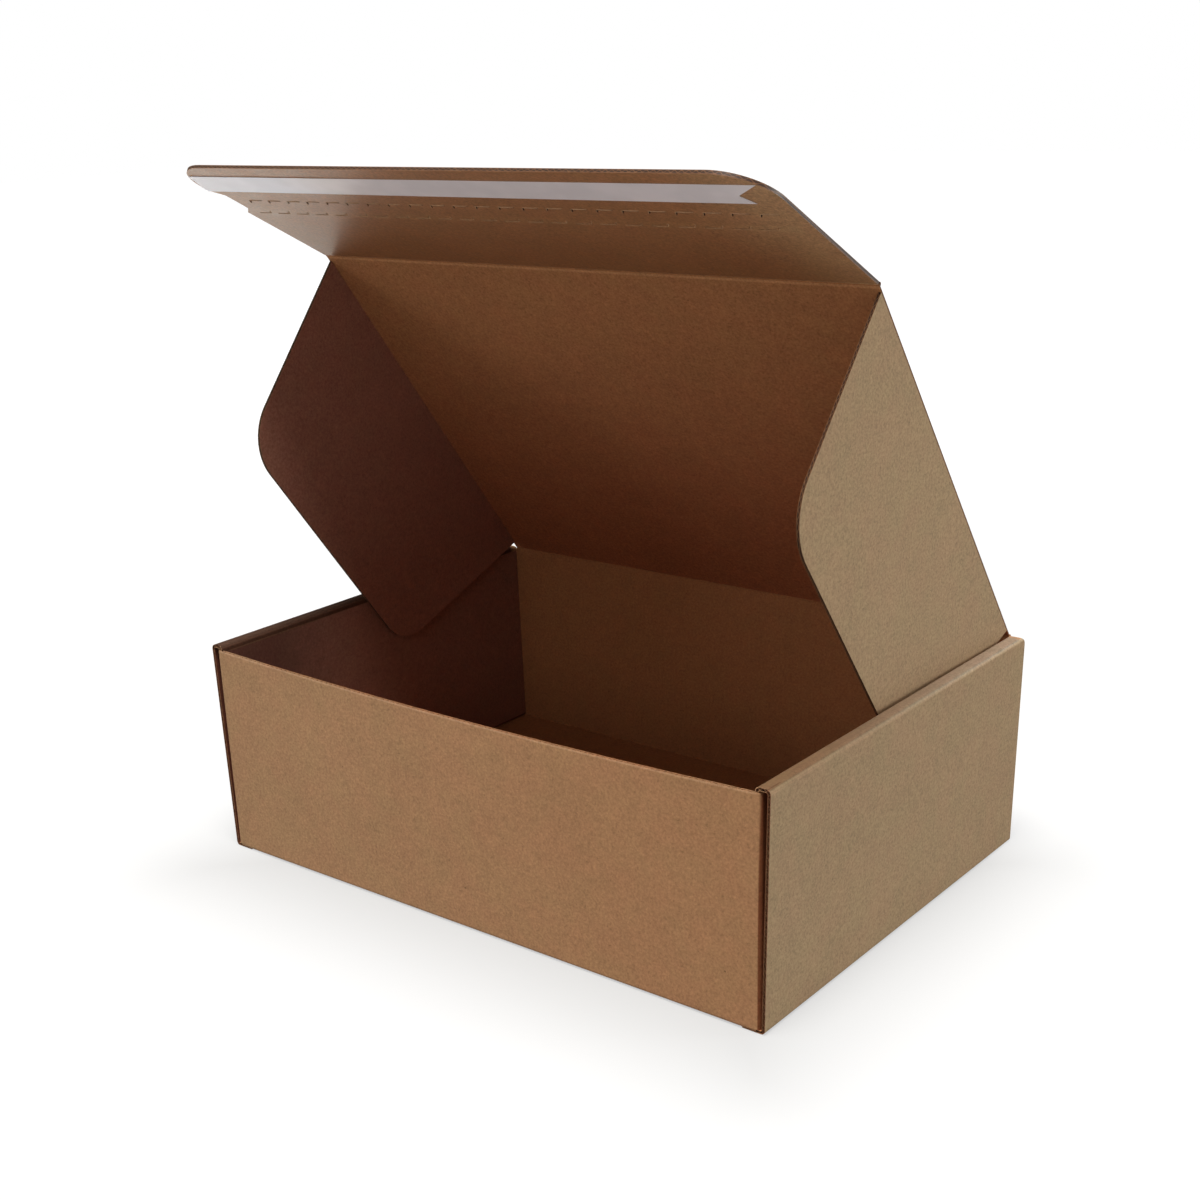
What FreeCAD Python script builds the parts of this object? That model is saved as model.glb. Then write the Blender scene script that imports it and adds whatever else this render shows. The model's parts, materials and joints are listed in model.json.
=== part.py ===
import FreeCAD, Part
import math
import os

import Sketcher
from FreeCAD import Placement, Rotation, Vector

os.makedirs("parts", exist_ok=True)
doc = FreeCAD.newDocument("MailerBox")

# Driving dimensions, in millimetres and degrees
SIZES = [
    ("box_length", 320.0),          # outside, at the base, along X
    ("box_depth", 223.0),           # outside, front wall to back wall, along Y
    ("side_height", 107.5),         # top of the roll-over side walls
    ("front_height", 105.0),        # top of the front wall at its corners
    ("front_dip", 3.0),             # how far the front wall's cut edge dips at mid-length
    ("board", 1.5),                 # thickness of the fluted board
    ("liner_paper", 0.22),          # each paper face of the board
    ("open_edge", 2.0),             # how deep the flute hollows show at a cut edge
    ("fold_radius", 1.9),           # outside radius of a right-angled fold
    ("roll_radius", 2.4),           # outside radius of the side wall's top fold
    ("ply_gap", 0.12),              # air between layers folded against each other
    ("foot_slack", 0.46),           # more air under the outer side panel, at its foot
    ("side_flare", 3.2),            # outward lean of an outer side panel over its height
    ("ply_flare", 1.2),             # outward lean of the inner side panels and corner flaps
    ("side_setback", 0.5),          # side walls stop this far inside the front and back faces
    ("back_corner", 4.5),           # rounding of a side wall's back top corner
    ("small_corner", 1.6),          # rounding of a side wall's other corners
    ("corner_flap", 62.0),          # reach of a corner flap inside its side wall
    ("inner_clear", 1.4),           # gap between an inner side panel and the base
    ("tab_length", 42.0),
    ("tab_spread", 112.0),          # distance between the two tabs of a side
    ("tab_recess", 0.2),            # a tab ends this far above the box's underside
    ("slot_clear", 0.3),            # air round a tab in its slot
    ("lid_raise", 54.0),            # angle of the lid above level
    ("flap_raise", 28.0),           # angle of the closing flap above level
    ("lid_side_gap", 0.5),          # ear to inner side panel, at the top
    ("lid_rest_gap", 0.3),          # closed lid above the front wall
    ("flap_clear", 0.7),            # closed flap in front of the front wall
    ("bead", 0.95),                 # radius of the rolled bead in a crease
    ("bead_gap", 0.12),
    ("ear_depth", 100.0),
    ("ear_lean", 0.7),              # an ear leans in by this angle
    ("ear_seam", 0.05),             # crease between lid and ear
    ("ear_front_inset", 3.6),
    ("ear_rear_inset", 5.5),
    ("ear_front_taper", 27.0),
    ("ear_rear_taper", 28.0),
    ("ear_front_corner", 28.0),
    ("ear_rear_corner", 22.0),
    ("flap_depth", 102.0),
    ("flap_spread", 2.0),           # the flap is this much wider on each side at its outer edge
    ("flap_corner", 21.0),
    ("tear_low", 53.0),             # lower line of cuts, from the crease
    ("tear_high", 67.3),            # upper line of cuts
    ("tear_end_inset", 6.5),        # how far the tear strip's end lies inside the flap's left edge
    ("tear_end_slope", 5.0),
    ("cut_margin", 15.0),           # least distance from a row of cuts to the flap's side
    ("cut_pitch", 12.7),
    ("cut_length", 8.0),
    ("cut_width", 0.45),
    ("tick_length", 2.6),
    ("tick_lean", 1.3),
    ("tape_low", 77.2),             # liner's edge nearer the crease
    ("tape_width", 16.0),
    ("tape_film", 0.12),            # thickness of liner and of adhesive
    ("tape_margin", 0.5),           # liner's left end to the flap's edge
    ("tape_end", 152.5),            # outer prong of the liner's fishtail, from the box's middle
    ("tape_prong_step", 8.5),       # the inner prong is this much shorter
    ("tape_notch", 12.5),           # depth of the fishtail's notch
    ("glue_margin", 1.0),           # adhesive lies this far inside the liner's long edges
]

sheet = doc.addObject("Spreadsheet::Sheet", "Sizes")
for row, (alias, value) in enumerate(SIZES, start=1):
    sheet.set("A%d" % row, alias)
    sheet.set("B%d" % row, repr(value))
    sheet.setAlias("B%d" % row, alias)
doc.recompute()


def size(alias):
    return float(sheet.get(alias))


board = size("board")
half_length = size("box_length") / 2
half_depth = size("box_depth") / 2
side_height = size("side_height")
front_height = size("front_height")
liner_paper = size("liner_paper")
ply_gap = size("ply_gap")
fold_radius = size("fold_radius")
inner_fold = max(fold_radius - board, 0.05)

# Where the side wall's layers stand, measured from the middle of the box at its foot
inner_face = half_length - 3 * board - 2 * ply_gap - size("foot_slack")
flap_face = inner_face + 2 * board + ply_gap
lean = size("ply_flare") / side_height

# Creases of the lid: the hinge on the back wall and the front crease of the closing flap
lid_half = inner_face + size("ply_flare") - size("lid_side_gap")
hinge = Vector(0, half_depth - board / 2, front_height + size("lid_rest_gap") + board / 2)
lid_depth = size("box_depth") + size("flap_clear")
lid_turn = Rotation(Vector(1, 0, 0), 180 - size("lid_raise"))
flap_turn = Rotation(Vector(1, 0, 0), 180 - size("flap_raise"))
crease = hinge + lid_turn.multVec(Vector(0, lid_depth, 0))
plate_start = size("bead") + size("bead_gap")


def corner_arc(before, corner, after, radius):
    """The two tangent points and the middle point of the arc that rounds one corner."""
    back = (before - corner).normalize()
    ahead = (after - corner).normalize()
    half_angle = back.getAngle(ahead) / 2
    reach = radius / math.tan(half_angle)
    middle = corner + (back + ahead).normalize() * (radius / math.sin(half_angle) - radius)
    return corner + back * reach, middle, corner + ahead * reach


def rounded_wire(corners):
    """A closed wire through (point, radius) corners, each rounded where its radius isn't zero."""
    stops = []
    for i, (point, radius) in enumerate(corners):
        before = corners[i - 1][0]
        after = corners[(i + 1) % len(corners)][0]
        if radius > 0:
            stops.append(corner_arc(before, point, after, radius))
        else:
            stops.append((point, None, point))
    edges = []
    for i, (start, middle, end) in enumerate(stops):
        if middle is not None:
            edges.append(Part.Arc(start, middle, end).toShape())
        following = stops[(i + 1) % len(stops)][0]
        edges.append(Part.LineSegment(end, following).toShape())
    return Part.Wire(edges)


def prism(corners, direction):
    return Part.Face(rounded_wire(corners)).extrude(direction)


def both_sides(shape):
    return shape.fuse(shape.mirror(Vector(0, 0, 0), Vector(1, 0, 0)))


# Tray: one folded sheet

def side_section(y):
    """The roll-over side wall in section: base, outer panel, top, inner panel."""
    top = side_height
    flare = size("side_flare")
    ply_flare = size("ply_flare")
    foot = board + size("inner_clear")
    at_foot = inner_face + lean * foot
    under = top - board
    return [
        (Vector(inner_face - 3 * fold_radius, y, 0), 0),
        (Vector(half_length, y, 0), fold_radius),
        (Vector(half_length + flare, y, top), size("roll_radius")),
        (Vector(inner_face + ply_flare, y, top), fold_radius),
        (Vector(at_foot, y, foot), 0),
        (Vector(at_foot + board, y, foot), 0),
        (Vector(inner_face + ply_flare + board, y, under), inner_fold),
        (Vector(half_length + flare - board, y, under), max(size("roll_radius") - board, 0.05)),
        (Vector(half_length - board, y, board), inner_fold),
        (Vector(inner_face - 3 * fold_radius, y, board), 0),
    ]


def side_wall():
    """One side wall with its tabs, its open ends and its rounded back corner."""
    end = half_depth - size("side_setback")
    section = side_section(-end)
    wall = prism(section, Vector(0, 2 * end, 0))
    small = size("small_corner")
    outline = [
        (Vector(0, -end, -1), 0),
        (Vector(0, end, -1), 0),
        (Vector(0, end, side_height), size("back_corner")),
        (Vector(0, -end, side_height), small / 2),
    ]
    wall = wall.common(prism(outline, Vector(2 * half_length, 0, 0)))
    hollow = Part.Face(rounded_wire(section)).makeOffset2D(-liner_paper)
    depth = size("open_edge")
    wall = wall.cut(hollow.extrude(Vector(0, depth, 0)))
    hollow.translate(Vector(0, 2 * end - depth, 0))
    wall = wall.cut(hollow.extrude(Vector(0, depth, 0)))
    # The inner panel stops short of the front and back walls and stands over them at the top
    clear = board + ply_gap
    notch_top = front_height + ply_gap
    for y in (-half_depth, half_depth - clear):
        corner = Vector(inner_face - 1, y, board + ply_gap)
        notch = Part.makeBox(board + size("ply_flare") + 1.2, clear, notch_top - board - ply_gap, corner)
        wall = wall.cut(notch)
    for y in (-size("tab_spread") / 2, size("tab_spread") / 2):
        foot = board + size("inner_clear") + 1
        corner = Vector(inner_face + 0.02, y - size("tab_length") / 2, size("tab_recess"))
        wall = wall.fuse(Part.makeBox(board, size("tab_length"), foot - size("tab_recess"), corner))
    return wall


def end_plan(z, y_face, inward):
    """Plan of a front or back wall with its two corner flaps, at one height."""
    x_out = flap_face + lean * z
    x_in = x_out - board
    y_tip = y_face + inward * size("corner_flap")
    y_in = y_face + inward * board
    return [
        (Vector(-x_out, y_tip, z), 0),
        (Vector(-x_out, y_face, z), fold_radius),
        (Vector(x_out, y_face, z), fold_radius),
        (Vector(x_out, y_tip, z), 0),
        (Vector(x_in, y_tip, z), 0),
        (Vector(x_in, y_in, z), inner_fold),
        (Vector(-x_in, y_in, z), inner_fold),
        (Vector(-x_in, y_tip, z), 0),
    ]


def end_wall(y_face, inward):
    """A front or back wall, its corner flaps and the fold that joins it to the base."""
    low = rounded_wire(end_plan(board + ply_gap, y_face, inward))
    high = rounded_wire(end_plan(front_height, y_face, inward))
    band = Part.makeLoft([low, high], True, True)
    reach = flap_face - fold_radius
    y_in = y_face + inward * board
    y_base = y_face + inward * 4 * fold_radius
    fold = [
        (Vector(-reach, y_base, 0), 0),
        (Vector(-reach, y_face, 0), fold_radius),
        (Vector(-reach, y_face, 3 * fold_radius), 0),
        (Vector(-reach, y_in, 3 * fold_radius), 0),
        (Vector(-reach, y_in, board), inner_fold),
        (Vector(-reach, y_base, board), 0),
    ]
    return band.fuse(prism(fold, Vector(2 * reach, 0, 0)))


def dip_cut(y_low, thickness, drop):
    """What the dipping edge of the front wall leaves out, lowered by drop."""
    reach = flap_face - fold_radius
    top = front_height + board
    left = Vector(-reach, y_low, front_height - drop)
    right = Vector(reach, y_low, front_height - drop)
    middle = Vector(0, y_low, front_height - drop - size("front_dip"))
    edges = [
        Part.Arc(left, middle, right).toShape(),
        Part.LineSegment(right, Vector(reach, y_low, top)).toShape(),
        Part.LineSegment(Vector(reach, y_low, top), Vector(-reach, y_low, top)).toShape(),
        Part.LineSegment(Vector(-reach, y_low, top), left).toShape(),
    ]
    return Part.Face(Part.Wire(edges)).extrude(Vector(0, thickness, 0))


def hinge_edge():
    """The top of the back wall between the side walls, with the bead of the lid's crease."""
    low = front_height - board
    corner = Vector(-lid_half, half_depth - board, low)
    plate = Part.makeBox(2 * lid_half, board, hinge.z - low, corner)
    start = Vector(-lid_half, hinge.y, hinge.z)
    return plate.fuse(Part.makeCylinder(size("bead"), 2 * lid_half, start, Vector(1, 0, 0)))


def tray_shape():
    inset = 2 * fold_radius
    base = Part.makeBox(
        2 * (half_length - inset),
        2 * (half_depth - inset),
        board,
        Vector(inset - half_length, inset - half_depth, 0),
    )
    front = end_wall(-half_depth, 1)
    front = front.cut(dip_cut(-half_depth - 1, board + 2, 0))
    hollow = board - 2 * liner_paper
    front = front.cut(dip_cut(-half_depth + liner_paper, hollow, size("open_edge")))
    back = end_wall(half_depth, -1).fuse(hinge_edge())
    walls = both_sides(side_wall())
    tray = base.fuse([front, back, walls])
    clear = size("slot_clear")
    for x_sign in (-1, 1):
        for y_sign in (-1, 1):
            x_middle = x_sign * (inner_face + board / 2)
            y_middle = y_sign * size("tab_spread") / 2
            wide = board + 2 * clear
            long = size("tab_length") + 2 * clear
            slot = Part.makeBox(wide, long, board + 2, Vector(x_middle - wide / 2, y_middle - long / 2, -1))
            tab = Part.makeBox(
                board,
                size("tab_length"),
                board + 2,
                Vector(x_middle - board / 2 + x_sign * 0.02, y_middle - size("tab_length") / 2, -1),
            )
            tray = tray.cut(slot.cut(tab))
            under = Part.makeBox(wide, long, size("tab_recess") + 1, Vector(x_middle - wide / 2, y_middle - long / 2, -1))
            tray = tray.cut(under)
    return tray.removeSplitter()


tray = doc.addObject("Part::Feature", "Tray")
tray.Label = "tray"
tray.Shape = tray_shape()
tray.Placement = Placement()


# Plates cut from the sheet: a sketch, a pad and rounded corners

def origin_plane(body, role):
    return [plane for plane in body.Origin.OriginFeatures if plane.Role == role][0]


def outline_sketch(body, name, corners):
    """A closed outline whose corners are held by expressions of the sheet."""
    sketch = body.newObject("Sketcher::SketchObject", name)
    sketch.AttachmentSupport = [(origin_plane(body, "XY_Plane"), "")]
    sketch.MapMode = "FlatFace"
    spots = [Vector(evaluate(x), evaluate(y), 0) for x, y in corners]
    count = len(spots)
    for i in range(count):
        sketch.addGeometry(Part.LineSegment(spots[i], spots[(i + 1) % count]), False)
    for i in range(count):
        sketch.addConstraint(Sketcher.Constraint("Coincident", i, 2, (i + 1) % count, 1))
    for i, (x, y) in enumerate(corners):
        for kind, text, value in (("DistanceX", x, spots[i].x), ("DistanceY", y, spots[i].y)):
            number = sketch.addConstraint(Sketcher.Constraint(kind, -1, 1, i, 1, value))
            sketch.setExpression("Constraints[%d]" % number, text)
    return sketch


def evaluate(text):
    """The value of an expression over the sheet's aliases."""
    return float(sheet.evalExpression(text.replace("Sizes.", "")))


def padded_body(name, label, corners, thickness, reversed_side=False, centred=False):
    body = doc.addObject("PartDesign::Body", name)
    body.Label = label
    sketch = outline_sketch(body, name + "Outline", corners)
    pad = body.newObject("PartDesign::Pad", name + "Sheet")
    pad.Profile = sketch
    pad.setExpression("Length", thickness)
    pad.Reversed = reversed_side
    pad.Midplane = centred
    doc.recompute()
    return body, pad


def corner_edges(shape, x, y):
    """Names of the edges that run through the sheet's thickness at one corner."""
    found = []
    for i, edge in enumerate(shape.Edges, start=1):
        ends = [vertex.Point for vertex in edge.Vertexes]
        if all(abs(p.x - x) < 0.01 and abs(p.y - y) < 0.01 for p in ends):
            found.append("Edge%d" % i)
    return found


def rounded_corners(body, name, last, corners):
    """Fillets on the corners of a plate: (x text, y text, radius text) each."""
    for i, (x, y, radius) in enumerate(corners):
        edges = corner_edges(last.Shape, evaluate(x), evaluate(y))
        fillet = body.newObject("PartDesign::Fillet", "%sCorner%d" % (name, i + 1))
        fillet.Base = (last, edges)
        fillet.setExpression("Radius", radius)
        doc.recompute()
        last = fillet
    return last


# Lid panel
HALF = "({0} + Sizes.ply_flare - Sizes.lid_side_gap)".format(
    "Sizes.box_length / 2 - 3 * Sizes.board - 2 * Sizes.ply_gap - Sizes.foot_slack"
)
LID_DEPTH = "(Sizes.box_depth + Sizes.flap_clear)"
START = "(Sizes.bead + Sizes.bead_gap)"
lid_corners = [
    ("-" + HALF, START),
    (HALF, START),
    (HALF, LID_DEPTH),
    ("-" + HALF, LID_DEPTH),
]
lid, lid_pad = padded_body("LidPanel", "lid_panel", lid_corners, "Sizes.board", centred=True)

# The lid's front edge carries the bead of the closing flap's crease
bead_sketch = lid.newObject("Sketcher::SketchObject", "CreaseBeadOutline")
bead_sketch.AttachmentSupport = [(origin_plane(lid, "YZ_Plane"), "")]
bead_sketch.MapMode = "FlatFace"
bead_sketch.addGeometry(Part.Circle(Vector(lid_depth, 0, 0), Vector(0, 0, 1), size("bead")), False)
bead_sketch.addConstraint(Sketcher.Constraint("DistanceX", -1, 1, 0, 3, lid_depth))
bead_sketch.setExpression("Constraints[0]", LID_DEPTH)
bead_sketch.addConstraint(Sketcher.Constraint("PointOnObject", 0, 3, -1))
bead_sketch.addConstraint(Sketcher.Constraint("Radius", 0, size("bead")))
bead_sketch.setExpression("Constraints[2]", "Sizes.bead")
bead_pad = lid.newObject("PartDesign::Pad", "CreaseBead")
bead_pad.Profile = bead_sketch
bead_pad.Midplane = True
bead_pad.setExpression("Length", "2 * " + HALF)
doc.recompute()

# Its side edges are rounded outside, where the sheet turns down into the ears
side_edges = []
for i, edge in enumerate(bead_pad.Shape.Edges, start=1):
    ends = [vertex.Point for vertex in edge.Vertexes]
    along = len(ends) == 2 and abs(ends[0].y - ends[1].y) > lid_depth / 2
    if along and all(abs(point.z + board / 2) < 0.01 for point in ends):
        side_edges.append("Edge%d" % i)
round_sides = lid.newObject("PartDesign::Fillet", "SideFolds")
round_sides.Base = (bead_pad, side_edges)
round_sides.setExpression("Radius", "0.8 * Sizes.board")
doc.recompute()
lid.Placement = Placement(hinge, lid_turn)


# Ears
def ear(name, label, outward):
    """One side flap of the lid; outward is 1 on the right and -1 on the left."""
    rear = "Sizes.ear_rear_inset"
    front = "(%s - Sizes.ear_front_inset)" % LID_DEPTH
    low_rear = "(Sizes.ear_rear_inset + Sizes.ear_rear_taper)"
    low_front = "(%s - Sizes.ear_front_inset - Sizes.ear_front_taper)" % LID_DEPTH
    corners = [
        ("0", rear),
        ("Sizes.ear_depth", low_rear),
        ("Sizes.ear_depth", low_front),
        ("0", front),
    ]
    body, pad = padded_body(name, label, corners, "Sizes.board", reversed_side=outward > 0)
    rounded_corners(body, name, pad, [
        ("Sizes.ear_depth", low_rear, "Sizes.ear_rear_corner"),
        ("Sizes.ear_depth", low_front, "Sizes.ear_front_corner"),
    ])
    lean_turn = Rotation(Vector(0, 1, 0), -90 - outward * size("ear_lean"))
    pivot = Vector(outward * (lid_half - board), 0, board / 2 + size("ear_seam"))
    body.Placement = Placement(hinge, lid_turn).multiply(Placement(pivot, lean_turn))
    return body


left_ear = ear("LeftEar", "left_ear", -1)
right_ear = ear("RightEar", "right_ear", 1)

# Closing flap
EDGE = "(%s + Sizes.flap_spread)" % HALF
REACH = "Sizes.flap_depth"
NARROW = "(%s + Sizes.flap_spread - Sizes.tear_end_inset)" % HALF
flap_corners = [
    ("-" + HALF, START),
    (HALF, START),
    (EDGE, REACH),
    ("-" + EDGE, REACH),
    ("-" + EDGE, "Sizes.tape_low"),
    ("-" + NARROW, "(Sizes.tape_low - Sizes.tear_end_slope)"),
    ("-" + NARROW, "(Sizes.tear_low + Sizes.tear_end_slope)"),
    ("-(%s + Sizes.flap_spread / 2)" % HALF, "Sizes.tear_low"),
]
flap, flap_pad = padded_body("FrontFlap", "front_flap", flap_corners, "Sizes.board", centred=True)
flap_last = rounded_corners(flap, "FrontFlap", flap_pad, [
    (EDGE, REACH, "Sizes.flap_corner"),
    ("-" + EDGE, REACH, "Sizes.flap_corner"),
])

CUT_COUNT = "(floor(2 * (%s - Sizes.cut_margin) / Sizes.cut_pitch) + 1)" % HALF


def cut_row(name, last, corners):
    """One row of cuts through the flap, repeated at the pitch."""
    sketch = outline_sketch(flap, name + "Outline", corners)
    pocket = flap.newObject("PartDesign::Pocket", name + "Cut")
    pocket.BaseFeature = last
    pocket.Profile = sketch
    pocket.Type = 1
    pocket.Midplane = True
    doc.recompute()
    row = flap.newObject("PartDesign::LinearPattern", name)
    row.Originals = [pocket]
    row.Direction = (origin_plane(flap, "YZ_Plane"), [""])
    row.setExpression("Length", "(%s - 1) * Sizes.cut_pitch" % CUT_COUNT)
    flap.Tip = row
    row.setExpression("Occurrences", CUT_COUNT)
    doc.recompute()
    return row


ROW_START = "(-(%s - 1) * Sizes.cut_pitch / 2)" % CUT_COUNT


def cut_outline(y_line, tick_at_start):
    """A straight cut along the line with a short slanted tick at one end."""
    width = "Sizes.cut_width"
    tick = "Sizes.tick_length"
    lean_by = "Sizes.tick_lean"
    if tick_at_start:
        x0 = ROW_START
        x1 = "(%s + Sizes.cut_length)" % ROW_START
        return [
            (x0, y_line),
            (x1, y_line),
            (x1, "(%s - %s)" % (y_line, width)),
            ("(%s + %s)" % (x0, width), "(%s - %s)" % (y_line, width)),
            ("(%s + %s - %s)" % (x0, width, lean_by), "(%s - %s)" % (y_line, tick)),
            ("(%s - %s)" % (x0, lean_by), "(%s - %s)" % (y_line, tick)),
        ]
    x0 = "(%s - Sizes.cut_length)" % ROW_START
    x1 = ROW_START
    return [
        (x0, y_line),
        (x1, y_line),
        ("(%s + %s)" % (x1, lean_by), "(%s + %s)" % (y_line, tick)),
        ("(%s + %s - %s)" % (x1, lean_by, width), "(%s + %s)" % (y_line, tick)),
        ("(%s - %s)" % (x1, width), "(%s + %s)" % (y_line, width)),
        (x0, "(%s + %s)" % (y_line, width)),
    ]


upper_row = cut_row("UpperCuts", flap_last, cut_outline("Sizes.tear_high", True))
lower_row = cut_row("LowerCuts", upper_row, cut_outline("Sizes.tear_low", False))
flap.Placement = Placement(crease, flap_turn)

# Adhesive and its liner, on the flap's inner face
GLUE_LOW = "(Sizes.tape_low + Sizes.glue_margin)"
GLUE_HIGH = "(Sizes.tape_low + Sizes.tape_width - Sizes.glue_margin)"
TAPE_LEFT = "-(%s - Sizes.tape_margin)" % EDGE
TAPE_HIGH = "(Sizes.tape_low + Sizes.tape_width)"
GLUE_RIGHT = "(Sizes.tape_end - Sizes.tape_notch - Sizes.tape_prong_step)"
# The liner's left end follows the flap's rounded corner
CORNER_START = "(Sizes.flap_depth - Sizes.flap_corner)"
CORNER_BACK = "sqrt(pow(Sizes.flap_corner; 2) - pow(%s - %s; 2))" % (TAPE_HIGH, CORNER_START)
TAPE_TOP_LEFT = "-(%s - Sizes.flap_corner + %s - Sizes.tape_margin)" % (EDGE, CORNER_BACK)
GLUE_LEFT = "(%s + Sizes.glue_margin)" % TAPE_TOP_LEFT
glue_corners = [
    (GLUE_LEFT, GLUE_LOW),
    (GLUE_RIGHT, GLUE_LOW),
    (GLUE_RIGHT, GLUE_HIGH),
    (GLUE_LEFT, GLUE_HIGH),
]
glue, glue_pad = padded_body("AdhesiveStrip", "adhesive_strip", glue_corners, "Sizes.tape_film")
glue_place = Placement(Vector(0, 0, board / 2), Rotation())
glue.Placement = Placement(crease, flap_turn).multiply(glue_place)
liner_corners = [
    (TAPE_LEFT, "Sizes.tape_low"),
    ("(Sizes.tape_end - Sizes.tape_prong_step)", "Sizes.tape_low"),
    ("(Sizes.tape_end - Sizes.tape_notch)", "(Sizes.tape_low + 0.42 * Sizes.tape_width)"),
    ("Sizes.tape_end", TAPE_HIGH),
    (TAPE_TOP_LEFT, TAPE_HIGH),
    (TAPE_LEFT, CORNER_START),
]
liner, liner_pad = padded_body("ReleaseLiner", "release_liner", liner_corners, "Sizes.tape_film")
liner_place = Placement(Vector(0, 0, board / 2 + size("tape_film")), Rotation())
liner.Placement = Placement(crease, flap_turn).multiply(liner_place)
doc.recompute()

# Every object is checked, then each node is written
for item in doc.Objects:
    if "Invalid" in item.State or "Error" in item.State:
        raise RuntimeError("%s is %s" % (item.Name, item.State))
for node in (tray, lid, left_ear, right_ear, flap, glue, liner):
    shape = node.Shape
    if shape.isNull() or not shape.isValid() or len(shape.Solids) != 1:
        raise RuntimeError("%s has %d solids" % (node.Label, len(shape.Solids)))
    shape.exportStep("parts/%s.step" % node.Label)
    print(node.Label, round(shape.Volume / 1000, 2), [round(v, 2) for v in (
        shape.BoundBox.XMin, shape.BoundBox.XMax, shape.BoundBox.YMin,
        shape.BoundBox.YMax, shape.BoundBox.ZMin, shape.BoundBox.ZMax)])
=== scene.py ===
"""A folded corrugated mailer box with its lid raised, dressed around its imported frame."""
import json
import math

import bmesh
import bpy
from mathutils import Matrix, Vector


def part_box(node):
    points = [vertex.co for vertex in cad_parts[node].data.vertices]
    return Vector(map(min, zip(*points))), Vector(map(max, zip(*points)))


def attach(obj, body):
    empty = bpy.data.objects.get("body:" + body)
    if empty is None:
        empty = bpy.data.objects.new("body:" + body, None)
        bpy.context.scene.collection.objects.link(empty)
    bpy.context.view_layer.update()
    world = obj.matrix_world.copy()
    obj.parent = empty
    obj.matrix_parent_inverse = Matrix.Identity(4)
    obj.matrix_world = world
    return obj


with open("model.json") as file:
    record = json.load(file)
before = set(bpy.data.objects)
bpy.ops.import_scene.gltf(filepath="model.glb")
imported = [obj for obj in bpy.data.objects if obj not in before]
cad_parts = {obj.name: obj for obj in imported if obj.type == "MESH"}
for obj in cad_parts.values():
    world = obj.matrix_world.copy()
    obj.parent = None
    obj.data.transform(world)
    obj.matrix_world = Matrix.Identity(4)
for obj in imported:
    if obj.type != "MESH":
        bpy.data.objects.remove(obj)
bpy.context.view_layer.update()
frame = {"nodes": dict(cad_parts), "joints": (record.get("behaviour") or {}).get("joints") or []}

bl_info = {
    "name": "Corrugated mailer box",
    "version": (1, 0, 0),
    "blender": (4, 5, 0),
    "location": "View3D > Sidebar > Mailer",
    "description": "Paper, flutes, tear strip and studio of a folded mailer box",
    "category": "Object",
}

MM = 0.001

# Places taken from the frame
JOINTS = {joint["name"]: joint for joint in frame["joints"]}
HINGE = Vector(JOINTS["lid_hinge"]["pos_m"])
CREASE = Vector(JOINTS["flap_crease"]["pos_m"])
ACROSS = Vector((1, 0, 0))
LID_ALONG = (CREASE - HINGE).normalized()
LID_INWARD = ACROSS.cross(LID_ALONG)
FLAP_BEND = math.radians(90 - JOINTS["flap_crease"]["range_deg"][1])
FLAP_ALONG = Matrix.Rotation(FLAP_BEND, 3, "X") @ LID_ALONG
FLAP_INWARD = ACROSS.cross(FLAP_ALONG)
TRAY_LOW, TRAY_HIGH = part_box("tray")
TRAY_TOP = TRAY_HIGH.z
TRAY_BACK = -TRAY_LOW.y

# Lamps: name, place, point aimed at, size, watts and colour
BOX_MIDDLE = (0.0, 0.0, 0.12)
FLAP_LEFT = (-0.13, -0.06, 0.31)
LAMPS = (
    ("key", (0.3, -0.55, 2.5), BOX_MIDDLE, 1.0, 100, (1.0, 0.98, 0.93)),
    ("front_fill", (0.2, -2.2, 1.2), BOX_MIDDLE, 1.2, 7, (1.0, 0.96, 0.9)),
    ("right_back", (2.0, 1.3, 0.4), BOX_MIDDLE, 1.0, 31, (0.97, 0.99, 0.98)),
    ("left_front", (-1.8, -1.4, 0.6), BOX_MIDDLE, 1.0, 7.5, (1.0, 0.98, 0.96)),
    ("left_low", (-0.6, 0.15, 0.03), FLAP_LEFT, 0.25, 0.8, (1.0, 0.96, 0.86)),
)


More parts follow.
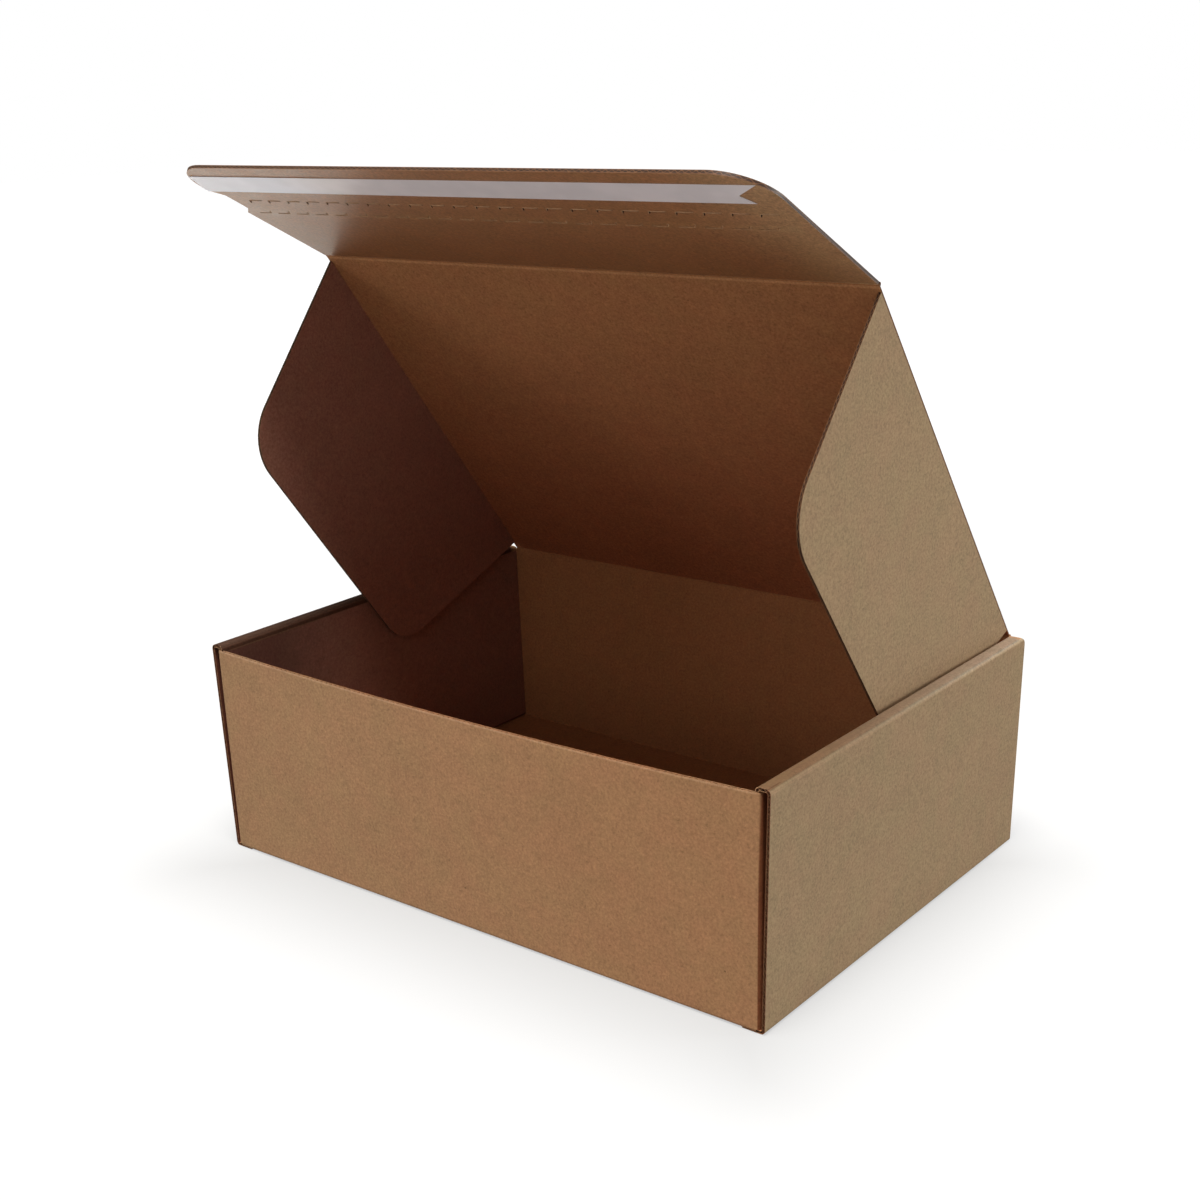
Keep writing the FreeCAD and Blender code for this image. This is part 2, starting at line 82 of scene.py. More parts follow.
class BoardSizes(bpy.types.PropertyGroup):
    """The fluted board and the colours of its paper."""

    board: bpy.props.FloatProperty(
        name="Board", description="Thickness of the board", default=1.5 * MM, unit="LENGTH"
    )
    paper: bpy.props.FloatProperty(
        name="Paper", description="Thickness of a paper face", default=0.22 * MM, unit="LENGTH"
    )
    flute_paper: bpy.props.FloatProperty(
        name="Flute paper", description="Thickness of the wavy paper", default=0.2 * MM, unit="LENGTH"
    )
    flute_pitch: bpy.props.FloatProperty(
        name="Flute pitch", description="Distance from flute to flute", default=3.1 * MM, unit="LENGTH"
    )
    open_edge: bpy.props.FloatProperty(
        name="Open edge", description="Depth of the flutes that show at a cut edge",
        default=1.95 * MM, unit="LENGTH"
    )
    kraft: bpy.props.FloatVectorProperty(
        name="Kraft", description="Colour of the paper", default=(0.385, 0.22, 0.115), subtype="COLOR", size=3
    )
    kraft_right: bpy.props.FloatVectorProperty(
        name="Kraft, right end", description="Colour of the outer paper at the right end",
        default=(0.372, 0.192, 0.093), subtype="COLOR", size=3
    )
    # Painted light: a cooler, greyer colour on the outer faces that look sideways, standing in for cooler
    # light from the side.
    kraft_side_cool_light: bpy.props.FloatVectorProperty(
        name="Kraft, side faces", description="Greyer colour of the sides' paper",
        default=(0.325, 0.218, 0.123), subtype="COLOR", size=3
    )
    # Partly painted shade: the inner paper's colour, made darker and redder for the shade inside the box.
    kraft_inside_shaded: bpy.props.FloatVectorProperty(
        name="Kraft, inside", description="Colour of the inner paper face",
        default=(0.33, 0.137, 0.054), subtype="COLOR", size=3
    )
    # Painted shade: a bluer colour for the left ear's inner face, for its cool shade inside the box.
    ear_inside_shade: bpy.props.FloatVectorProperty(
        name="Left ear, inside", description="Colour of the left ear's inner face",
        default=(0.33, 0.145, 0.1), subtype="COLOR", size=3
    )
    # Painted shade: darker colours on the left side wall's inner face, darkest at its front.
    side_inside_shade: bpy.props.FloatVectorProperty(
        name="Left side, inside", description="Colour of the left side wall's inner face, towards the back",
        default=(0.3, 0.14, 0.1), subtype="COLOR", size=3
    )
    side_inside_front_shade: bpy.props.FloatVectorProperty(
        name="Left side, inside front", description="Colour of the left side wall's inner face, at the front",
        default=(0.12, 0.05, 0.035), subtype="COLOR", size=3
    )
    # Partly painted shade: the wavy paper is darker than the faces, for the shade deep in the open edges.
    flute_colour_shaded: bpy.props.FloatVectorProperty(
        name="Flute colour", description="Colour of the wavy paper",
        default=(0.13, 0.055, 0.026), subtype="COLOR", size=3
    )
    lip_colour: bpy.props.FloatVectorProperty(
        name="Lip colour", description="Colour of the paper raised beside a cut",
        default=(0.4, 0.24, 0.135), subtype="COLOR", size=3
    )


class PaperTints(bpy.types.PropertyGroup):
    """Factors on the paper's red, green and blue: painted light and shade on its faces, folds and cut faces.
    """

    # Painted shade: darker and redder towards the hinge, on the lid's inner face.
    lid_far_shade: bpy.props.FloatVectorProperty(
        name="Lid, far", description="Lid's inner face towards the hinge", default=(0.95, 0.78, 0.82), size=3
    )
    # Painted shade at the crease and painted light towards the outer edge, on the closing flap's inner face.
    flap_near_shade: bpy.props.FloatVectorProperty(
        name="Flap, near", description="Closing flap's inner face at its crease",
        default=(0.82, 0.8, 0.78), size=3
    )
    flap_far_light: bpy.props.FloatVectorProperty(
        name="Flap, far", description="Closing flap's inner face at its outer edge",
        default=(1.12, 1.22, 1.35), size=3
    )
    # Painted sheen: lighter and more neutral towards the closing flap's right end.
    flap_right_sheen: bpy.props.FloatVectorProperty(
        name="Flap, right", description="Closing flap's inner face at its right end",
        default=(1.35, 1.75, 2.1), size=3
    )
    # Painted highlight along the closing flap's crease, on the lid and the flap.
    crease: bpy.props.FloatVectorProperty(
        name="Crease", description="Rubbed line along the closing flap's crease",
        default=(1.3, 1.42, 1.55), size=3
    )
    # Painted shade on the side walls' top folds: darkest on the left, and cooler towards the back on the
    # right.
    crown_left_shade: bpy.props.FloatVectorProperty(
        name="Crown, left", description="Top fold of the left side wall", default=(0.16, 0.13, 0.15), size=3
    )
    crown_front_shade: bpy.props.FloatVectorProperty(
        name="Crown, front", description="Top fold of the right side wall at the front",
        default=(0.34, 0.36, 0.36), size=3
    )
    crown_back_cool_shade: bpy.props.FloatVectorProperty(
        name="Crown, back", description="Top fold of the right side wall at the back",
        default=(0.58, 0.8, 1.15), size=3
    )
    # Painted shade at the front and painted cool light at the back, below the right crown.
    shoulder_front_shade: bpy.props.FloatVectorProperty(
        name="Shoulder, front", description="Below the right crown at the front",
        default=(0.66, 0.64, 0.64), size=3
    )
    shoulder_back_cool_light: bpy.props.FloatVectorProperty(
        name="Shoulder, back", description="Below the right crown at the back",
        default=(1.05, 1.15, 1.3), size=3
    )
    # Painted highlight along a line under the front wall's cut edge.
    rim_highlight: bpy.props.FloatVectorProperty(
        name="Rim", description="Rubbed line under the front wall's cut edge",
        default=(1.3, 1.42, 1.6), size=3
    )
    # Painted shade on the left side wall's inner shoulder.
    left_lip_shade: bpy.props.FloatVectorProperty(
        name="Left lip", description="Inner shoulder of the left side wall",
        default=(0.22, 0.17, 0.19), size=3
    )
    # Painted shade on the cut ends of the side walls.
    end_left_shade: bpy.props.FloatVectorProperty(
        name="End, left", description="Cut end of the left side wall", default=(0.8, 0.62, 0.56), size=3
    )
    end_right_shade: bpy.props.FloatVectorProperty(
        name="End, right", description="Cut end of the right side wall", default=(0.5, 0.36, 0.32), size=3
    )
    # Painted shade in the gap beside the front wall's ends.
    gap_left_shade: bpy.props.FloatVectorProperty(
        name="Gap, left", description="Beside the front wall's left end", default=(0.9, 0.62, 0.5), size=3
    )
    gap_right_shade: bpy.props.FloatVectorProperty(
        name="Gap, right", description="Beside the front wall's right end", default=(0.45, 0.26, 0.19), size=3
    )
    # Partly painted shade: the cut faces of flat panels are darkened.
    cut_face_shade: bpy.props.FloatVectorProperty(
        name="Cut edge", description="Cut face of a flat panel", default=(0.38, 0.33, 0.3), size=3
    )
    # Painted shade in the hollows between the flutes of a cut face.
    hollow: bpy.props.FloatVectorProperty(
        name="Hollow", description="Between the flutes of a cut face", default=(0.16, 0.12, 0.1), size=3
    )
    # Painted highlight on the cut faces of the tear strip's lower row.
    cut_row_highlight: bpy.props.FloatVectorProperty(
        name="Cut row", description="Cut faces of the tear strip's lower row",
        default=(1.05, 1.1, 1.1), size=3
    )




class WallSizes(bpy.types.PropertyGroup):
    """Heights and folds of the tray's walls, which the flutes and the painted light and shade follow."""

    front_height: bpy.props.FloatProperty(
        name="Front height", description="Top of the front wall at its ends", default=105 * MM, unit="LENGTH"
    )
    front_dip: bpy.props.FloatProperty(
        name="Front dip", description="Dip of the front wall's top edge", default=3 * MM, unit="LENGTH"
    )
    front_reach: bpy.props.FloatProperty(
        name="Front reach", description="Half length of the front wall's cut edge",
        default=156.0 * MM, unit="LENGTH"
    )
    setback: bpy.props.FloatProperty(
        name="Setback", description="Side walls' ends behind the front face", default=0.5 * MM, unit="LENGTH"
    )
    half_length: bpy.props.FloatProperty(
        name="Half length", description="Outside of a side wall at its foot", default=160 * MM, unit="LENGTH"
    )
    side_lean: bpy.props.FloatProperty(
        name="Side lean", description="Outward lean of a side wall for each unit of height", default=0.0298
    )
    inner_face: bpy.props.FloatProperty(
        name="Inner face", description="Inside of a side wall at its foot", default=154.8 * MM, unit="LENGTH"
    )
    inner_flare: bpy.props.FloatProperty(
        name="Inner flare", description="Outward lean of the inner panel", default=1.2 * MM, unit="LENGTH"
    )
    fold_radius: bpy.props.FloatProperty(
        name="Fold radius", description="Outside radius of a fold", default=1.9 * MM, unit="LENGTH"
    )
    roll_radius: bpy.props.FloatProperty(
        name="Roll radius", description="Outside radius of a side wall's top fold",
        default=2.4 * MM, unit="LENGTH"
    )
    back_corner: bpy.props.FloatProperty(
        name="Back corner", description="Rounding of a side wall's back top corner",
        default=4.5 * MM, unit="LENGTH"
    )
    tuck: bpy.props.FloatProperty(
        name="Tuck", description="Run of flutes under the base, inwards from a side wall's inside",
        default=5 * MM, unit="LENGTH"
    )
    top_run: bpy.props.FloatProperty(
        name="Top run", description="Run of flutes down the inner panel, from a side wall's top fold",
        default=3 * MM, unit="LENGTH"
    )


class TearStrip(bpy.types.PropertyGroup):
    """The two rows of cuts across the closing flap."""

    low_row: bpy.props.FloatProperty(
        name="Low row", description="From the crease", default=53 * MM, unit="LENGTH"
    )
    high_row: bpy.props.FloatProperty(
        name="High row", description="From the crease", default=67.3 * MM, unit="LENGTH"
    )
    pitch: bpy.props.FloatProperty(
        name="Pitch", description="From cut to cut", default=12.7 * MM, unit="LENGTH"
    )
    cuts: bpy.props.IntProperty(name="Cuts", description="Cuts in each row", default=23)
    cut_length: bpy.props.FloatProperty(
        name="Cut", description="Length of a cut", default=8 * MM, unit="LENGTH"
    )
    tick: bpy.props.FloatProperty(
        name="Tick", description="Length of the slanted tick", default=2.6 * MM, unit="LENGTH"
    )
    tick_lean: bpy.props.FloatProperty(
        name="Tick lean", description="Slant of the tick", default=1.3 * MM, unit="LENGTH"
    )
    cut_width: bpy.props.FloatProperty(
        name="Width", description="Width of a cut", default=0.45 * MM, unit="LENGTH"
    )
    lip_height: bpy.props.FloatProperty(
        name="Lip height", description="Paper raised beside a cut", default=0.22 * MM, unit="LENGTH"
    )
    lip_width: bpy.props.FloatProperty(
        name="Lip width", description="Width of the raised paper", default=0.55 * MM, unit="LENGTH"
    )
    lip_sink: bpy.props.FloatProperty(
        name="Lip sink", description="Foot of the raised paper below the flap's face",
        default=0.05 * MM, unit="LENGTH"
    )


class TapeColours(bpy.types.PropertyGroup):
    """The release liner and the adhesive under it."""

    liner: bpy.props.FloatVectorProperty(
        name="Liner", description="Colour of the coated paper",
        default=(0.89, 0.82, 0.85), subtype="COLOR", size=3
    )
    liner_low: bpy.props.FloatVectorProperty(
        name="Liner, low", description="Colour of the coated paper between its waves",
        default=(0.82, 0.76, 0.79), subtype="COLOR", size=3
    )
    # Painted light: bluer towards the liner's left end.
    liner_left_light: bpy.props.FloatVectorProperty(
        name="Liner, left", description="Factor on the liner's colour at its left end",
        default=(0.97, 1.06, 1.18), size=3
    )
    adhesive: bpy.props.FloatVectorProperty(
        name="Adhesive", description="Colour of the adhesive",
        default=(0.55, 0.48, 0.38), subtype="COLOR", size=3
    )
    adhesive_milky: bpy.props.FloatVectorProperty(
        name="Adhesive, milky", description="Colour of the adhesive where it has small bubbles",
        default=(0.68, 0.64, 0.56), subtype="COLOR", size=3
    )


class Studio(bpy.types.PropertyGroup):
    """Floor, even light and camera."""

    frame_px: bpy.props.FloatProperty(
        name="Frame", description="Side of the square picture, in pixels", default=1200
    )
    focal_px: bpy.props.FloatProperty(name="Focal length", description="In pixels", default=1727.2)
    axis_row: bpy.props.FloatProperty(
        name="Axis row", description="Picture row of the lens axis", default=640
    )
    azimuth: bpy.props.FloatProperty(
        name="Azimuth", description="Camera to the right of the front", default=0.6777, subtype="ANGLE"
    )
    elevation: bpy.props.FloatProperty(
        name="Elevation", description="Camera above level", default=0.3196, subtype="ANGLE"
    )
    roll: bpy.props.FloatProperty(name="Roll", description="Camera's tilt", default=-0.0348, subtype="ANGLE")
    distance: bpy.props.FloatProperty(
        name="Distance", description="To the aim", default=0.8408, unit="LENGTH"
    )
    aim: bpy.props.FloatVectorProperty(
        name="Aim", description="Point that the lens axis meets",
        default=(-0.007, 0, 0.1062), subtype="XYZ", size=3
    )
    ambient: bpy.props.FloatProperty(name="Ambient", description="Even light from all round", default=0.14)
    floor_reach: bpy.props.FloatProperty(
        name="Floor", description="Half width of the floor", default=6.0, unit="LENGTH"
    )
    floor_level: bpy.props.FloatProperty(
        name="Floor level", description="Floor's height under the box", default=-0.2 * MM, unit="LENGTH"
    )
    floor_near: bpy.props.FloatProperty(
        name="Glow, near", description="Floor's own light at the box", default=0.805
    )
    contact_shade: bpy.props.FloatProperty(
        name="Contact shade", description="Glow that the floor loses under the box", default=0.31
    )
    contact_middle: bpy.props.FloatVectorProperty(
        name="Contact middle", description="Middle of the contact shade", default=(0.011, -0.023, 0.0),
        subtype="XYZ", size=3
    )
    contact_half: bpy.props.FloatVectorProperty(
        name="Contact size", description="Half the size of the box's footprint", default=(0.16, 0.1115, 0.0),
        subtype="XYZ", size=3
    )


def mesh_object(name, verts, faces, edges=()):
    mesh = bpy.data.meshes.new(name)
    mesh.from_pydata([tuple(v) for v in verts], edges, faces)
    mesh.validate()
    obj = bpy.data.objects.new(name, mesh)
    bpy.context.scene.collection.objects.link(obj)
    return obj


# Node helpers

def set_inputs(tree, node, sources):
    """Gives a node's inputs their numbers or sockets, in order."""
    for socket, source in zip(node.inputs, sources):
        if isinstance(source, bpy.types.NodeSocket):
            tree.links.new(source, socket)
        else:
            socket.default_value = source


def maths(tree, operation, *sources):
    node = tree.nodes.new("ShaderNodeMath")
    node.operation = operation
    set_inputs(tree, node, sources)
    return node.outputs[0]


def vector_maths(tree, operation, *sources):
    node = tree.nodes.new("ShaderNodeVectorMath")
    node.operation = operation
    set_inputs(tree, node, sources)
    return node.outputs["Value" if operation in ("DOT_PRODUCT", "LENGTH") else "Vector"]


def product(tree, *sources):
    result = sources[0]
    for source in sources[1:]:
        result = maths(tree, "MULTIPLY", result, source)
    return result


def total(tree, *sources):
    result = sources[0]
    for source in sources[1:]:
        result = maths(tree, "ADD", result, source)
    return result


def about_half(tree, source, gain):
    """A noise's departure from one half, times a gain."""
    return maths(tree, "MULTIPLY", maths(tree, "SUBTRACT", source, 0.5), gain)


def ramp_between(tree, source, low, high, out_low=0.0, out_high=1.0):
    """source mapped from low..high to out_low..out_high, smoothly and clamped."""
    node = tree.nodes.new("ShaderNodeMapRange")
    node.interpolation_type = "SMOOTHSTEP"
    set_inputs(tree, node, (source, low, high, out_low, out_high))
    return node.outputs["Result"]


def noise(tree, vector, scale, detail, roughness):
    node = tree.nodes.new("ShaderNodeTexNoise")
    node.inputs["Scale"].default_value = scale
    node.inputs["Detail"].default_value = detail
    node.inputs["Roughness"].default_value = roughness
    tree.links.new(vector, node.inputs["Vector"])
    return node.outputs["Fac"]


def mix_colour(tree, blend, factor, first, second):
    """Two colours, each a socket or three numbers, mixed by a factor."""
    node = tree.nodes.new("ShaderNodeMix")
    node.data_type = "RGBA"
    node.blend_type = blend
    sources = [factor]
    for source in (first, second):
        sources.append(source if isinstance(source, bpy.types.NodeSocket) else (*source, 1))
    for index, source in zip((0, 6, 7), sources):
        if isinstance(source, bpy.types.NodeSocket):
            tree.links.new(source, node.inputs[index])
        else:
            node.inputs[index].default_value = source
    return node.outputs[2]


def turned(tree, vector, angles):
    node = tree.nodes.new("ShaderNodeVectorRotate")
    node.rotation_type = "EULER_XYZ"
    node.inputs["Rotation"].default_value = angles
    tree.links.new(vector, node.inputs["Vector"])
    return node.outputs[0]


def new_group(name, kind, inputs, outputs):
    """A node group with (name, socket kind, default) inputs and (name, socket kind) outputs."""
    tree = bpy.data.node_groups.new(name, kind)
    for label, socket_kind, default in inputs:
        socket = tree.interface.new_socket(name=label, in_out="INPUT", socket_type="NodeSocket" + socket_kind)
        if default is not None:
            socket.default_value = default
    for label, socket_kind in outputs:
        tree.interface.new_socket(name=label, in_out="OUTPUT", socket_type="NodeSocket" + socket_kind)
    return tree, tree.nodes.new("NodeGroupInput").outputs, tree.nodes.new("NodeGroupOutput").inputs


# Shader groups

def kraft_group():
    """Unbleached paper: cloudy formation, fibres both ways, dark specks and the faint lines of the flutes."""
    tree, given, result = new_group(
        "Kraft paper", "ShaderNodeTree",
        (
            ("Vector", "Vector", (0, 0, 0)), ("Tone", "Color", (0.4, 0.25, 0.15, 1)),
            ("Across flutes", "Float", 0.0), ("Flute pitch", "Float", 3.1 * MM), ("Contrast", "Float", 1.0),
        ),
        (("Color", "Color"), ("Roughness", "Float"), ("Height", "Float")),
    )
    place = given["Vector"]

    cloud = noise(tree, place, 110, 4, 0.6)
    broad = noise(tree, place, 18, 2, 0.5)
    hue = noise(tree, place, 60, 3, 0.6)
    grain = noise(tree, place, 800, 3, 0.65)
    flock = noise(tree, place, 330, 2, 0.6)
    light = dark = 0.0
    for turn, scale in (((0.1, 0.2, 0.15), 1500), ((0.9, -0.7, 1.2), 1350), ((-0.8, 1.1, -0.5), 1200)):
        stretched = vector_maths(tree, "MULTIPLY", turned(tree, place, turn), (0.2, 1.0, 1.0))
        fibre = noise(tree, stretched, scale, 2, 0.6)
        light = maths(tree, "MAXIMUM", light, ramp_between(tree, fibre, 0.62, 0.8))
        dark = maths(tree, "MAXIMUM", dark, ramp_between(tree, fibre, 0.4, 0.24))

    speck = tree.nodes.new("ShaderNodeTexVoronoi")
    speck.inputs["Scale"].default_value = 120
    tree.links.new(place, speck.inputs["Vector"])
    chosen = tree.nodes.new("ShaderNodeSeparateColor")
    tree.links.new(speck.outputs["Color"], chosen.inputs[0])
    small = ramp_between(tree, speck.outputs["Distance"], 0.07, 0.03)
    rare = ramp_between(tree, chosen.outputs[0], 0.93, 0.96)

    turns = maths(tree, "DIVIDE", given["Across flutes"], given["Flute pitch"])
    stripe = maths(tree, "COSINE", maths(tree, "MULTIPLY", turns, 2 * math.pi))

    change = total(
        tree, about_half(tree, cloud, 0.24), about_half(tree, broad, 0.12), about_half(tree, grain, 0.95),
        about_half(tree, flock, 0.2), maths(tree, "MULTIPLY", light, 0.18),
        maths(tree, "MULTIPLY", dark, -0.2), maths(tree, "MULTIPLY", stripe, 0.008),
    )
    value = maths(tree, "ADD", 1.0, maths(tree, "MULTIPLY", change, given["Contrast"]))
    grey = tree.nodes.new("ShaderNodeCombineColor")
    for socket in grey.inputs[:3]:
        tree.links.new(value, socket)
    warmth = ramp_between(tree, hue, 0.3, 0.7)
    warm = mix_colour(tree, "MIX", warmth, (0.985, 1.01, 0.985), (1.025, 0.99, 0.99))
    colour = mix_colour(tree, "MULTIPLY", 1.0, given["Tone"], grey.outputs[0])
    colour = mix_colour(tree, "MULTIPLY", 1.0, colour, warm)
    colour = mix_colour(tree, "MIX", product(tree, small, rare, 0.6), colour, (0.07, 0.035, 0.018))
    tree.links.new(colour, result["Color"])
    tree.links.new(maths(tree, "ADD", 0.8, about_half(tree, cloud, 0.15)), result["Roughness"])
    height = total(
        tree, maths(tree, "MULTIPLY", grain, 0.35), maths(tree, "MULTIPLY", light, 0.35),
        maths(tree, "MULTIPLY", stripe, 0.22), maths(tree, "MULTIPLY", cloud, 0.5),
    )
    tree.links.new(height, result["Height"])


def cut_edge_group():
    """The cut edge of the board: two paper faces with the wavy paper between them, and the hollows, which are
    painted dark as shade.
    """
    tree, given, result = new_group(
        "Cut edge", "ShaderNodeTree",
        (
            ("Along", "Float", 0.0), ("Through", "Float", 0.0), ("Pitch", "Float", 3.1 * MM),
            ("Half hollow", "Float", 0.53 * MM),
        ),
        (("Paper", "Float"),),
    )
    turns = maths(tree, "DIVIDE", given["Along"], given["Pitch"])
    crest = maths(tree, "MULTIPLY", given["Half hollow"], 0.85)
    wave = maths(tree, "MULTIPLY", maths(tree, "SINE", maths(tree, "MULTIPLY", turns, 2 * math.pi)), crest)
    off_wave = maths(tree, "ABSOLUTE", maths(tree, "SUBTRACT", given["Through"], wave))
    on_wave = ramp_between(tree, off_wave, 0.22 * MM, 0.1 * MM)
    past = maths(tree, "SUBTRACT", maths(tree, "ABSOLUTE", given["Through"]), given["Half hollow"])
    on_face = ramp_between(tree, past, -0.06 * MM, 0.04 * MM)
    tree.links.new(maths(tree, "MAXIMUM", on_wave, on_face), result["Paper"])


class Finish:
    """A material being made, with the object's own places and the ways its surface looks."""

    def __init__(self, name, specular=0.22):
        self.material = bpy.data.materials.new(name)
        self.material.use_nodes = True
        self.tree = self.material.node_tree
        self.shader = self.tree.nodes["Principled BSDF"]
        self.shader.inputs["Specular IOR Level"].default_value = specular
        coords = self.tree.nodes.new("ShaderNodeTexCoord")
        self.place = coords.outputs["Object"]
        self.facing = coords.outputs["Normal"]

    def along(self, way, origin=(0, 0, 0)):
        """How far the place lies from an origin, along a way."""
        distance = vector_maths(self.tree, "DOT_PRODUCT", self.place, tuple(way))
        start = Vector(way).dot(Vector(origin))
        return maths(self.tree, "SUBTRACT", distance, start) if start else distance

    def looks(self, way):
        """How squarely the surface looks along a way."""
        return vector_maths(self.tree, "DOT_PRODUCT", self.facing, tuple(way))

    def size_of(self, source):
        return maths(self.tree, "ABSOLUTE", source)

    def ramp(self, source, low, high):
        return ramp_between(self.tree, source, low, high)

    def times(self, *masks):
        return product(self.tree, *masks)

    def without(self, mask):
        return maths(self.tree, "SUBTRACT", 1.0, mask)

    def blend(self, mask, first, second):
        return mix_colour(self.tree, "MIX", mask, first, second)

    def tint(self, mask, colour, factor):
        return mix_colour(self.tree, "MULTIPLY", mask, colour, factor)

    def feed(self, source, name):
        self.tree.links.new(source, self.shader.inputs[name])

    def relief(self, height, strength, distance):
        bump = self.tree.nodes.new("ShaderNodeBump")
        bump.inputs["Strength"].default_value = strength
        bump.inputs["Distance"].default_value = distance
        self.tree.links.new(height, bump.inputs["Height"])
        self.feed(bump.outputs["Normal"], "Normal")

    def kraft(self, tone, across=0.0, contrast=1.0):
        """The outputs of the kraft paper in a tone, with its flutes' lines across a way."""
        paper = self.tree.nodes.new("ShaderNodeGroup")
        paper.node_tree = bpy.data.node_groups["Kraft paper"]
        pitch = bpy.context.scene.mailer_board.flute_pitch
        set_inputs(self.tree, paper, (self.place, tone, across, pitch, contrast))
        return paper.outputs

    def outer_tone(self):
        sizes = bpy.context.scene.mailer_board
        half = bpy.context.scene.mailer_wall.half_length
        return self.blend(self.ramp(self.along(ACROSS), -half, half), sizes.kraft, sizes.kraft_right)

    def cut_faces(self, colour, middle, inward, across, spared=0.0):
        """Darkens a flat panel's cut faces, partly as painted shade, and paints deeper shade on the hollows
        in them, but for the spared places.
        """
        sizes = bpy.context.scene.mailer_board
        tints = bpy.context.scene.mailer_tints
        edge = self.tree.nodes.new("ShaderNodeGroup")
        edge.node_tree = bpy.data.node_groups["Cut edge"]
        half_hollow = sizes.board / 2 - sizes.paper
        through = self.along(inward, middle)
        set_inputs(self.tree, edge, (across, through, sizes.flute_pitch, half_hollow))
        on_edge = self.times(self.ramp(self.size_of(self.looks(inward)), 0.6, 0.3), self.without(spared))
        hollow = self.times(on_edge, self.without(edge.outputs["Paper"]), 0.9)
        return self.tint(hollow, self.tint(on_edge, colour, tints.cut_face_shade), tints.hollow)

    def finish_kraft(self, colour, paper, gloss=0.0):
        """Joins a kraft paper to the shader, with a gloss that lowers its roughness."""
        self.feed(colour, "Base Color")
        self.feed(maths(self.tree, "SUBTRACT", paper["Roughness"], gloss), "Roughness")
        self.relief(paper["Height"], 0.25, 0.1 * MM)
        return self.material


